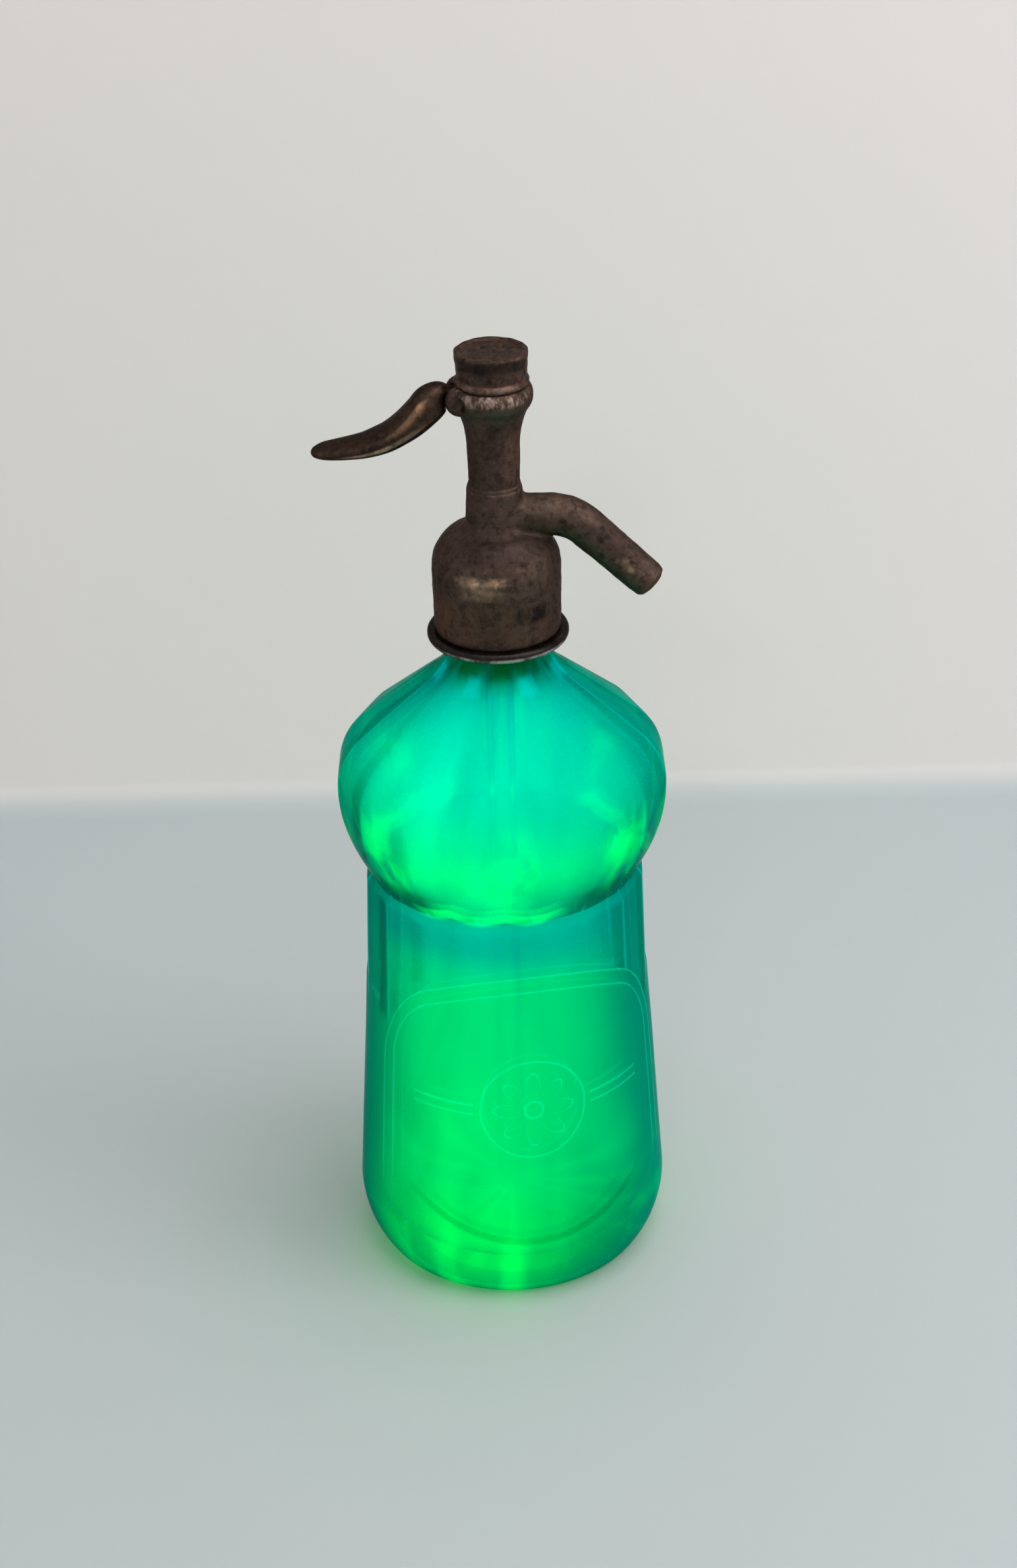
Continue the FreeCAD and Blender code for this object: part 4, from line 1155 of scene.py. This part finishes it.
def turned(name: str, legs: Sequence[Leg], wobble: float, tilt: float) -> bpy.types.Object:
    """Make a ring by turning a closed outline about the axis, a little out of true.

    Args:
        name: the object's name.
        legs: the outline, which ends where it starts.
        wobble: how far it is out of round, in millimetres.
        tilt: how far it is out of level, in millimetres.

    Returns:
        The object.
    """
    path = outline(legs, 0.3, 0.2)[:-1]
    heading = headings(96)
    radius = path[:, :1] + wobble * np.sin(7 * heading + path[:, 1:] * 3.0)
    height = path[:, 1:] + tilt * np.sin(4 * heading + 0.7)
    return grid_object(name, np.stack([radius * np.cos(heading), radius * np.sin(heading), height], axis=-1),
                       wrap_rows=True)


def through(rows: np.ndarray, count: int) -> np.ndarray:
    """Return rows on a smooth curve through other rows.

    Args:
        rows: the rows that the curve passes.
        count: how many rows to return.

    Returns:
        The rows, the first and last as given.
    """
    padded = np.concatenate([2 * rows[:1] - rows[1:2], rows, 2 * rows[-1:] - rows[-2:-1]])
    place = np.linspace(0.0, len(rows) - 1.0, count)
    leg = np.minimum(place.astype(int), len(rows) - 2)
    t = (place - leg)[:, None]
    a, b, c, d = (padded[leg + k] for k in range(4))
    return b + 0.5 * t * ((c - a) + t * ((2 * a - 5 * b + 4 * c - d) + t * (3 * b - a - 3 * c + d)))


def soft_minimum(a: np.ndarray, b: np.ndarray, soft: float) -> np.ndarray:
    """Return the lesser of two arrays, rounded over a soft width where they cross."""
    return -soft * np.logaddexp(-a / soft, -b / soft)


def soften(piece: bpy.types.Object, voxel: float, rounds: int, dents: float) -> None:
    """Round a casting's corners and dent its skin a little, with modifiers.

    Args:
        piece: the casting.
        voxel: the size of its new faces, in millimetres.
        rounds: how often it is smoothed.
        dents: how deep the dents are, in millimetres.
    """
    skin = piece.modifiers.new("skin", "REMESH")
    skin.mode, skin.voxel_size, skin.use_smooth_shade = "VOXEL", voxel * MM, True
    worn = piece.modifiers.new("worn", "SMOOTH")
    worn.factor, worn.iterations = 0.5, rounds
    clouds = bpy.data.textures.new(f"{piece.name}_dents", "CLOUDS")
    clouds.noise_scale, clouds.noise_depth = 0.0035, 2
    dented = piece.modifiers.new("dented", "DISPLACE")
    dented.texture, dented.strength, dented.mid_level = clouds, dents * MM, 0.5


def dress(piece: bpy.types.Object, material: bpy.types.Material, body: Body,
          replaces: Sequence[str] = ()) -> bpy.types.Object:
    """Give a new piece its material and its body.

    Args:
        piece: the piece.
        material: its material.
        body: the body that it rides on.
        replaces: the CAD nodes that it stands for.

    Returns:
        The piece.
    """
    piece.data.materials.clear()
    piece.data.materials.append(material)
    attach(piece, body.value)
    if replaces:
        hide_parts(*replaces)
    log.info("%s: %d faces, rides on %s", piece.name, len(piece.data.polygons), body.value)
    return piece


def refinish(node: str, material: bpy.types.Material) -> bpy.types.Object:
    """Give a CAD node a better material.

    Args:
        node: the node's name.
        material: its new material.

    Returns:
        The node's object.
    """
    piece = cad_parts[node]
    piece.data.materials.clear()
    piece.data.materials.append(material)
    log.info("%s: CAD node with %s", node, material.name)
    return piece


# ---------------------------------------------------------------------------------------------
# Sub-assemblies
# ---------------------------------------------------------------------------------------------


@dataclass
class Bottle:
    """The moulded glass bottle: fluted bulb, faceted band, etched body and thick heel."""

    outer_legs: tuple[Leg, ...] = (
        Leg(0.4, 5.0), Leg(33.0, 0.0, Arc.PLUMB_START), Leg(42.8, 0.0), Leg(48.0, 2.8, Arc.PLUMB_START),
        Leg(53.9, 22.7, Arc.LEVEL_END), Leg(48.5, 104.5), Leg(47.0, 147.4), Leg(44.8, 150.3),
        Leg(55.2, 182.5, Arc.LEVEL_END), Leg(46.3, 201.2, Arc.LEVEL_START), Leg(22.5, 220.5),
        Leg(15.4, 235.5, Arc.LEVEL_END), Leg(15.4, 250.4), Leg(16.8, 251.8), Leg(16.8, 257.6),
        Leg(15.4, 259.0, Arc.LEVEL_START))
    inner_legs: tuple[Leg, ...] = (
        Leg(10.5, 258.6), Leg(10.5, 235.5), Leg(19.61, 217.05, Arc.LEVEL_START), Leg(43.41, 197.75),
        Leg(50.7, 182.5, Arc.LEVEL_END), Leg(40.6, 150.3, Arc.LEVEL_START), Leg(44.0, 104.5), Leg(49.4, 26.0),
        Leg(34.4, 11.0, Arc.LEVEL_START), Leg(0.4, 14.0))
    flute_legs: tuple[Leg, ...] = (
        Leg(44.9, 150.3), Leg(54.35, 182.5, Arc.LEVEL_END), Leg(45.45, 201.2, Arc.LEVEL_START), Leg(23.1, 220.5))
    facet_edge: float = 0.22
    band_blank: float = 33.75
    band_foot: Leg = Leg(47.8, 108.5)
    band_head: Leg = Leg(46.5, 146.1)
    band_top: float = 151.3
    step: float = 104.5
    runout: float = 4.0
    runout_rise: float = 1.4
    outer_sway: float = 0.05
    inner_sway: float = 0.22
    around: int = 512
    glass: BottleGlass = BottleGlass()

    def flute_reach(self, heights: np.ndarray) -> np.ndarray:
        """Find how far the bulb's flat panels stand from the axis.

        Args:
            heights: the heights.

        Returns:
            The reach at each height; far out where there is no panel.
        """
        edge = outline(self.flute_legs, 0.5)
        reach = np.interp(heights, edge[:, 1], edge[:, 0])
        return np.where((heights > self.flute_legs[0].z) & (heights < self.flute_legs[-1].z), reach, FAR_OUT)

    def band_reach(self, heights: np.ndarray, turn: np.ndarray) -> np.ndarray:
        """Return how far the band's flat panels stand from the axis.

        Args:
            heights: the height of each ring, as a column.
            turn: the heading of each point in degrees from the front, as a row.

        Returns:
            The reach for each ring and point; far out where there is no panel.
        """
        panel = self.glass.cartouche
        share = np.radians(turn - panel.centre_turn) * panel.radius / panel.half_width
        foot = np.maximum(self.step, panel.top - panel.arch * share ** 2)
        foot = np.where(np.abs(share) > 1.05, self.step, foot)
        low, high = self.band_foot, self.band_head
        line = low.r + (high.r - low.r) * (heights - low.z) / (high.z - low.z)
        runout = np.clip((foot + self.runout - heights) / self.runout, 0.0, 4.0)
        in_band = (heights < self.band_top) & (np.abs(turn) > self.band_blank)
        return np.where(in_band, line + self.runout_rise * runout, FAR_OUT)

    def rings(self, path: np.ndarray, faceted: bool) -> np.ndarray:
        """Turn an outline about the axis, with the panels cut if it is the outside.

        Args:
            path: rows of radius and height.
            faceted: whether the panels are cut.

        Returns:
            The points as (ring, point, xyz).
        """
        turn = np.degrees(np.linspace(-math.pi, math.pi, self.around, endpoint=False))[None, :]
        radius, height = path[:, :1], path[:, 1:]
        pitch = 360.0 / FLUTES
        off = np.radians((turn + pitch / 2) % pitch - pitch / 2)
        reach = np.broadcast_to(radius, (len(path), self.around))
        if faceted:
            for flat in (self.flute_reach(height), self.band_reach(height, turn)):
                reach = soft_minimum(reach, flat / np.cos(off), self.facet_edge)
        heading = np.radians(turn)
        wave = np.sin(3 * heading + height / 17.0) + np.sin(5 * heading - height / 11.0 + 1.3)
        swell = wave * (self.outer_sway if faceted else self.inner_sway) * np.clip((radius - 12.0) / 20.0, 0.0, 1.0)
        reach = reach + swell * np.clip(height / 12.0, 0.0, 1.0)
        return np.stack([reach * np.sin(heading), -reach * np.cos(heading),
                         np.broadcast_to(height, reach.shape)], axis=-1)

    def build(self) -> list[bpy.types.Object]:
        """Build the bottle and dress it.

        Returns:
            The bottle's one piece.
        """
        outside = self.rings(outline(self.outer_legs, 0.7, 0.55), True)
        inside = self.rings(outline(self.inner_legs, 1.1, 2.2), False)
        body = grid_object("bottle_glass", np.concatenate([outside, inside]))
        return [dress(body, self.glass.material(), Body.BOTTLE_AND_HEAD, ("bottle",))]


@dataclass
class NeckJoint:
    """What hangs the dip tube and joins the bottle's neck to the head."""

    brass: PlainMetal = PlainMetal("turned_brass", (0.55, 0.4, 0.18), (0.3, 0.2, 0.1))
    rubber: SoftStuff = SoftStuff("black_rubber", (0.03, 0.028, 0.026), (0.07, 0.065, 0.06))
    tube: TubeGlass = TubeGlass()
    collar: AgedMetal = AgedMetal(
        "collar_metal", (0.012, 0.01, 0.009), (0.035, 0.028, 0.024), (0.2, 0.18, 0.16), metallic=0.8, roughness=0.28,
        wear_width=0.6, wear=0.35, pits=0.3, skin_depth=0.1, smudges_and_shade=0.3,
        # Painted highlight along the lower outer edge of the collar nut.
        tone_and_highlight_belts=(ToneAndHighlightBelt((0.5, 0.48, 0.43), 232.6, 235.9, 0.9, (0.1, -0.9, -0.1), 0.1, 0.6, 150.0),))
    collar_edge: float = 0.9

    def build(self) -> list[bpy.types.Object]:
        """Dress the tube, its seal and nut, the gasket, the split ring and the collar nut.

        Returns:
            The dressed pieces.
        """
        brass, rubber = self.brass.material(), self.rubber.material()
        made = [refinish("dip_tube", self.tube.material())]
        made += [refinish(node, rubber) for node in ("tube_seal", "neck_gasket")]
        made += [refinish(node, brass) for node in ("tube_nut", "neck_ring_left", "neck_ring_right")]
        collar = refinish("collar_nut", self.collar.material())
        rounded = collar.modifiers.new("rounded", "BEVEL")
        rounded.width, rounded.segments, rounded.limit_method = self.collar_edge * MM, 4, "ANGLE"
        return made + [collar]


@dataclass
class Head:
    """The casting with its bell and spout."""

    bronze: AgedMetal = AgedMetal(
        "cast_bronze", (0.105, 0.07, 0.055), (0.034, 0.021, 0.016), (0.3, 0.2, 0.14), cloud_scale=75.0, contrast=2.7,
        wear=0.5, pit_scale=210.0, pits=0.85, smudges_and_shade=0.5, tone_and_highlight_belts=(
            ToneAndHighlightBelt((0.095, 0.054, 0.03), 236.0, 256.0, 0.6, (-0.2, -0.98, 0.0), 0.1, 0.8, 140.0, 0.8),
            # Painted highlight along the bell's shoulder, on its front-left.
            ToneAndHighlightBelt((0.62, 0.41, 0.26), 254.0, 263.5, 0.95, (-0.25, -0.85, 0.38), 0.84, 0.97, 160.0, 0.6),
            ToneAndHighlightBelt((0.03, 0.019, 0.018), 263.5, 276.0, 0.8, (0.1, -0.7, 0.7), 0.7, 0.97, 90.0, 0.35),
            ToneAndHighlightBelt((0.008, 0.005, 0.007), 244.5, 253.0, 0.9, (0.55, -0.83, 0.0), 0.86, 0.99, 190.0, 0.9),
            ToneAndHighlightBelt((0.14, 0.07, 0.035), 237.0, 252.0, 0.6, (-0.75, -0.65, 0.0), 0.8, 0.97, 140.0, 0.8),
            ToneAndHighlightBelt((0.055, 0.075, 0.04), 240.0, 285.0, 0.75, (0.0, -0.3, -0.95), 0.15, 0.7, 150.0, 0.6)))
    seam_legs: tuple[Leg, ...] = (
        Leg(7.6, 286.1), Leg(8.45, 286.1), Leg(8.55, 286.5), Leg(8.3, 287.3), Leg(7.9, 287.7), Leg(7.6, 287.7),
        Leg(7.6, 286.1))
    seam_wobble: float = 0.04
    seam_tilt: float = 0.08

    def build(self) -> list[bpy.types.Object]:
        """Dress the casting, round its corners and fill the seam above it.

        Returns:
            The dressed pieces.
        """
        bronze = self.bronze.material()
        casting = refinish("head_body", bronze)
        soften(casting, 0.7, 9, 0.35)
        seam = turned("seam_filler", self.seam_legs, self.seam_wobble, self.seam_tilt)
        return [casting, dress(seam, bronze, Body.BOTTLE_AND_HEAD)]


@dataclass
class ValveWorks:
    """The seat, the moving valve, its packing and its spring."""

    brass: PlainMetal = PlainMetal("valve_brass", (0.58, 0.42, 0.2), (0.34, 0.24, 0.12), 0.26)
    steel: PlainMetal = PlainMetal("spring_steel", (0.5, 0.5, 0.5), (0.3, 0.29, 0.28), 0.24, 900.0)
    rubber: SoftStuff = SoftStuff("washer_rubber", (0.05, 0.03, 0.026), (0.09, 0.06, 0.05))
    leather: SoftStuff = SoftStuff("seal_leather", (0.22, 0.13, 0.08), (0.12, 0.07, 0.045), 0.6)
    lift: float = 3.5

    def coil(self) -> bpy.types.Object:
        """Build the spring as a copy of the CAD spring, which rides on the valve.

        Returns:
            The spring.
        """
        coil = bpy.data.objects.new("spring_coil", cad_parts["valve_spring"].data.copy())
        bpy.context.scene.collection.objects.link(coil)
        dress(coil, self.steel.material(), Body.VALVE, ("valve_spring",))
        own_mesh(coil)
        return coil

    def build(self) -> list[bpy.types.Object]:
        """Dress every piece of the valve.

        Returns:
            The dressed pieces.
        """
        brass = self.brass.material()
        nodes = ("valve_seat", "valve_screw", "valve_holder", "valve_stem", "gland_nut", "packing_washer",
                 "spring_nut")
        made = [refinish(node, brass) for node in nodes]
        made.append(refinish("valve_washer", self.rubber.material()))
        made.append(refinish("stem_seal", self.leather.material()))
        return made + [self.coil()]


@dataclass
class Barrel:
    """The column with the lever's boss, and the cap that closes it."""

    bronze: AgedMetal = AgedMetal(
        "barrel_bronze", (0.1, 0.064, 0.048), (0.03, 0.018, 0.014), (0.42, 0.29, 0.23), cloud_scale=80.0, contrast=2.8,
        wear=0.6, pit_scale=260.0, smudges_and_shade=0.5, tone_and_highlight_belts=(
            # Painted highlight along the front of the lever's boss, under the cap.
            ToneAndHighlightBelt((0.48, 0.34, 0.28), 315.6, 321.4, 0.55, (0.0, -0.95, 0.1), 0.2, 0.8, 330.0, 1.0),
            # Painted light, lighter and redder, down the right side of the column.
            ToneAndHighlightBelt((0.16, 0.09, 0.065), 286.0, 312.0, 0.6, (0.8, -0.6, 0.0), 0.8, 0.96, 90.0, 0.6),
            ToneAndHighlightBelt((0.055, 0.07, 0.045), 309.5, 317.5, 0.75, (0.0, -0.9, -0.4), 0.5, 0.85, 160.0, 0.6)))
    crown: AgedMetal = AgedMetal(
        "cap_bronze", (0.09, 0.052, 0.038), (0.024, 0.016, 0.013), (0.3, 0.2, 0.16), metallic=0.65, roughness=0.46,
        cloud_scale=90.0, contrast=4.4, wear=0.4, tone_and_highlight_belts=(
            ToneAndHighlightBelt((0.012, 0.009, 0.01), 326.3, 331.2, 0.9, (0.0, -1.0, 0.0), 0.3, 0.6, 120.0, 0.4),
            # Painted highlight on the bead at the foot of the cap.
            ToneAndHighlightBelt((0.2, 0.13, 0.1), 320.6, 323.4, 0.7, (0.0, -1.0, 0.0), 0.3, 0.7, 220.0, 0.7)))
    fibre: SoftStuff = SoftStuff("red_fibre", (0.28, 0.09, 0.05), (0.16, 0.05, 0.03), 0.7)
    cap_legs: tuple[Leg, ...] = (
        Leg(9.1, 320.3), Leg(11.2, 320.3), Leg(11.7, 320.9), Leg(11.9, 321.7), Leg(11.5, 322.5), Leg(11.05, 322.9),
        Leg(11.15, 326.0), Leg(11.55, 330.4), Leg(11.5, 331.2), Leg(10.9, 331.6), Leg(9.9, 331.5), Leg(9.3, 330.9),
        Leg(0.3, 331.1), Leg(0.3, 329.4), Leg(9.1, 329.4), Leg(9.1, 320.3))
    cap_sway: float = 0.06
    cap_lumps: float = 0.1
    key_holes: tuple[tuple[float, float], ...] = ((-3.2, 3.6), (3.4, 4.4))
    key_depth: float = 1.1
    key_spread: float = 1.3
    cheek_legs: tuple[Leg, ...] = (
        Leg(0.3, 3.3), Leg(4.3, 3.3), Leg(4.7, 4.0), Leg(4.7, 6.0), Leg(4.2, 6.9), Leg(2.2, 7.2), Leg(0.3, 7.2))
    pin_place: tuple[float, float] = (-9.8, 316.5)
    around: int = 160

    def cap(self) -> bpy.types.Object:
        """Build the cap as a turned shell with an uneven top and two key holes worn shallow.

        Returns:
            The cap.
        """
        path = outline(self.cap_legs, 0.4, 0.22)[:-1]
        heading = headings(self.around)
        radius, height = path[:, :1], path[:, 1:]
        wave = np.sin(5 * heading + height * 0.7) + np.sin(9 * heading - height * 1.9 + 0.8)
        radius = radius + self.cap_sway * wave * (radius > 9.5)
        x, y = radius * np.cos(heading), radius * np.sin(heading)
        level = np.broadcast_to(height, x.shape)
        lumps = self.cap_lumps * np.sin(x * 1.1 + 0.6) * np.sin(y * 0.9 - 0.4)
        for hole_x, hole_y in self.key_holes:
            lumps = lumps - self.key_depth * np.exp(-((x - hole_x) ** 2 + (y - hole_y) ** 2) / self.key_spread)
        return grid_object("cap_shell", np.stack([x, y, level + lumps * (level > 330.2)], axis=-1), wrap_rows=True)

    def cheek(self, name: str, side: float) -> bpy.types.Object:
        """Build the raised round cheek that one end of the pin sits in.

        Args:
            name: the piece's name.
            side: -1 for the front and 1 for the back.

        Returns:
            The piece.
        """
        path, heading = outline(self.cheek_legs, 0.3, 0.3), headings(64)
        x, z = (at + path[:, :1] * part for at, part in zip(self.pin_place, (np.cos(heading), np.sin(heading))))
        rows = np.stack([x, np.broadcast_to(side * path[:, 1:], x.shape), z], axis=-1)
        return grid_object(name, rows[::int(side)])

    def build(self) -> list[bpy.types.Object]:
        """Dress the barrel with its cheeks, the cap and the cap's washer.

        Returns:
            The dressed pieces.
        """
        bronze, crown = self.bronze.material(), self.crown.material()
        barrel = refinish("barrel", bronze)
        soften(barrel, 0.55, 5, 0.3)
        cheeks = [dress(self.cheek(name, side), crown, Body.BOTTLE_AND_HEAD)
                  for name, side in (("cheek_front", -1.0), ("cheek_back", 1.0))]
        cap = dress(self.cap(), crown, Body.BOTTLE_AND_HEAD, ("cap",))
        return [barrel, *cheeks, cap, refinish("cap_washer", self.fibre.material())]


@dataclass(frozen=True)
class Station:
    """One section of the blade: its centre in the lever's plane, half its width and half its thickness."""

    x: float
    z: float
    wide: float
    thick: float


@dataclass
class Lever:
    """The thumb lever and its pin."""

    bronze: AgedMetal = AgedMetal(
        "lever_bronze", (0.075, 0.046, 0.032), (0.02, 0.013, 0.01), (0.42, 0.25, 0.15), metallic=0.85, roughness=0.34,
        cloud_scale=70.0, contrast=3.6, wear_width=1.2, wear=0.7, skin_depth=0.08, smudges_and_shade=0.4, tone_and_highlight_belts=(
            # Painted highlight in a copper streak over the hump of the blade.
            ToneAndHighlightBelt((0.55, 0.3, 0.17), 304.0, 322.0, 0.85, (-0.3, -0.92, 0.2), 0.92, 0.99, 110.0, 0.7),
            # Painted highlight along the lower front ridge of the blade.
            ToneAndHighlightBelt((0.5, 0.34, 0.23), 295.0, 311.0, 0.8, (0.12, -0.95, -0.27), 0.955, 0.99, 110.0, 0.6)))
    steel: AgedMetal = AgedMetal("pin_steel", (0.06, 0.05, 0.045), (0.12, 0.08, 0.06), (0.4, 0.36, 0.33),
                                 metallic=0.8, roughness=0.45, wear_width=0.3)
    stations: tuple[Station, ...] = (
        Station(-57.1, 298.8, 1.0, 0.5), Station(-56.2, 298.9, 3.0, 1.2), Station(-53.4, 299.2, 5.1, 1.9),
        Station(-48.9, 299.6, 6.2, 2.3), Station(-44.8, 300.1, 6.8, 2.6), Station(-40.6, 300.8, 7.1, 3.0),
        Station(-36.6, 302.0, 7.3, 3.5), Station(-32.6, 303.6, 7.3, 3.9), Station(-29.0, 305.8, 7.2, 4.3),
        Station(-25.6, 308.3, 7.0, 4.8), Station(-22.4, 311.2, 6.6, 5.2), Station(-19.4, 314.3, 6.0, 5.5),
        Station(-16.2, 316.5, 4.6, 4.7), Station(-13.6, 316.9, 2.8, 3.1), Station(-9.8, 316.5, 2.5, 2.3))
    sections: int = 90
    around: int = 56
    squareness: float = 2.7

    def blade(self) -> bpy.types.Object:
        """Build the blade that the thumb presses, over the lever's own solid.

        Returns:
            The blade.
        """
        path = through(np.array([(at.x, at.z, at.wide, at.thick) for at in self.stations]), self.sections)
        along = np.gradient(path[:, :2], axis=0)
        along /= np.linalg.norm(along, axis=1, keepdims=True)
        angle = headings(self.around)
        across, rise = (np.sign(part) * np.abs(part) ** (2 / self.squareness)
                        for part in (np.cos(angle), np.sin(angle)))
        rise = path[:, 3:] * rise
        return grid_object("lever_blade", np.stack(
            [path[:, :1] - rise * along[:, 1:], path[:, 2:3] * across, path[:, 1:2] + rise * along[:, :1]], axis=-1))

    def build(self) -> list[bpy.types.Object]:
        """Build the blade, and dress the lever and its pin.

        Returns:
            The dressed pieces.
        """
        bronze = self.bronze.material()
        return [refinish("lever", bronze), dress(self.blade(), bronze, Body.LEVER),
                refinish("lever_pin", self.steel.material())]


# ---------------------------------------------------------------------------------------------
# Studio
# ---------------------------------------------------------------------------------------------


@dataclass
class Studio:
    """The pale sweep that the part stands on, the soft lamps and the camera, in metres and degrees."""

    floor: Colour = (0.46, 0.505, 0.52)
    wall: Colour = (0.86, 0.81, 0.79)
    wall_y: float = 0.305
    cove: float = 0.012
    half_width: float = 4.0
    near: float = -4.0
    height: float = 4.0
    sky: Colour = (0.96, 0.98, 1.0)
    world_strength: float = 0.5
    seen_strength: float = 0.85
    camera_place: tuple[float, float, float] = (0.0021, -0.85, 0.6556)
    pitch: float = 29.34
    roll: float = 1.45
    focal: float = 4436.2
    lamp_aim: float = 0.16
    lamps: tuple[tuple[str, float, float, tuple[float, float, float], Colour], ...] = (
        ("lamp_above", 1.4, 15.0, (0.45, -0.35, 1.7), (1.0, 0.97, 0.94)),
        ("lamp_window", 1.0, 9.0, (1.5, -0.6, 1.0), (1.0, 0.97, 0.96)),
        ("lamp_strip", 0.16, 1.6, (-0.25, -1.6, 1.25), (1.0, 0.98, 0.95)),
    )

    def sweep(self) -> bpy.types.Object:
        """Build the floor that curves up into the wall.

        Returns:
            The floor and wall, as one sheet.
        """
        corner = [(self.wall_y - self.cove * (1 - math.sin(a)), self.cove * (1 - math.cos(a)))
                  for a in np.linspace(0.0, math.pi / 2, 13)]
        line = [(self.near, 0.0), *corner, (self.wall_y, self.height)]
        vertices = [(side * self.half_width, y, z) for y, z in line for side in (-1, 1)]
        faces = [(2 * i, 2 * i + 1, 2 * i + 3, 2 * i + 2) for i in range(len(line) - 1)]
        mesh = bpy.data.meshes.new("sweep")
        mesh.from_pydata(vertices, [], faces)
        mesh.shade_smooth()
        made = bpy.data.objects.new("sweep", mesh)
        bpy.context.scene.collection.objects.link(made)
        made.data.materials.append(self.sweep_material())
        return made

    def sweep_material(self) -> bpy.types.Material:
        """Make the pale matt paint of the sweep, which is clear from behind.

        Returns:
            The paint.
        """
        material, g, shader = new_material("sweep_paint")
        place = g.place()
        high = g.span(g.split(place)[2], 0.0, self.cove)
        g.feed(shader.inputs["Base Color"], g.mix(high, self.floor, self.wall))
        shader.inputs["Roughness"].default_value = 0.7
        g.feed(shader.inputs["Normal"], g.bump(g.noise(place, 14.0, 3.0), 0.4 * MM))
        clear = g.node("BsdfTransparent")
        sides = g.node("MixShader")
        g.feed(sides.inputs[0], g.node("NewGeometry").outputs["Backfacing"])
        g.feed(sides.inputs[1], shader.outputs[0])
        g.feed(sides.inputs[2], clear.outputs[0])
        g.feed(g.output().inputs["Surface"], sides.outputs[0])
        return material

    def light(self) -> None:
        """Set the world and hang the soft lamps."""
        world = bpy.data.worlds.new("soft_sky")
        world.use_nodes = True
        g = Graph(world.node_tree)
        background = world.node_tree.nodes["Background"]
        background.inputs["Color"].default_value = (*self.sky, 1.0)
        path = g.node("LightPath")
        seen = g.most(*(path.outputs[f"Is {ray} Ray"] for ray in ("Camera", "Glossy", "Transmission")))
        g.feed(background.inputs["Strength"],
               g.plus(g.times(seen, self.seen_strength - self.world_strength), self.world_strength))
        bpy.context.scene.world = world
        for name, size, power, place, colour in self.lamps:
            data = bpy.data.lights.new(name, "AREA")
            data.shape, data.size, data.energy, data.color = "SQUARE", size, power, colour
            lamp = bpy.data.objects.new(name, data)
            lamp.location = place
            aim = Vector((0.0, 0.0, self.lamp_aim)) - Vector(place)
            lamp.rotation_euler = aim.to_track_quat("-Z", "Y").to_euler()
            bpy.context.scene.collection.objects.link(lamp)

    def camera(self) -> None:
        """Set up the camera at the height, pitch and roll of the view."""
        data = bpy.data.cameras.new("camera")
        data.sensor_width = SENSOR
        data.lens = SENSOR * self.focal / max(PICTURE_SIZE)
        data.clip_start, data.clip_end = 0.01, 50.0
        camera = bpy.data.objects.new("camera", data)
        turned = Euler((math.radians(90.0 - self.pitch), 0.0, 0.0)).to_matrix().to_4x4()
        rolled = Matrix.Rotation(math.radians(-self.roll), 4, "Z")
        camera.matrix_world = Matrix.Translation(self.camera_place) @ turned @ rolled
        bpy.context.scene.collection.objects.link(camera)
        bpy.context.scene.camera = camera

    def build(self) -> None:
        """Build the whole studio."""
        self.sweep()
        self.light()
        self.camera()
        bpy.context.scene.view_settings.view_transform = "Standard"


def main() -> None:
    """Build every sub-assembly in order, then the studio."""
    logging.basicConfig(level=logging.INFO, format="%(message)s")
    for assembly in (Bottle(), NeckJoint(), Head(), ValveWorks(), Barrel(), Lever()):
        pieces = assembly.build()
        log.info("%s: %d pieces", type(assembly).__name__, len(pieces))
    Studio().build()


if __name__ == "__main__":
    main()
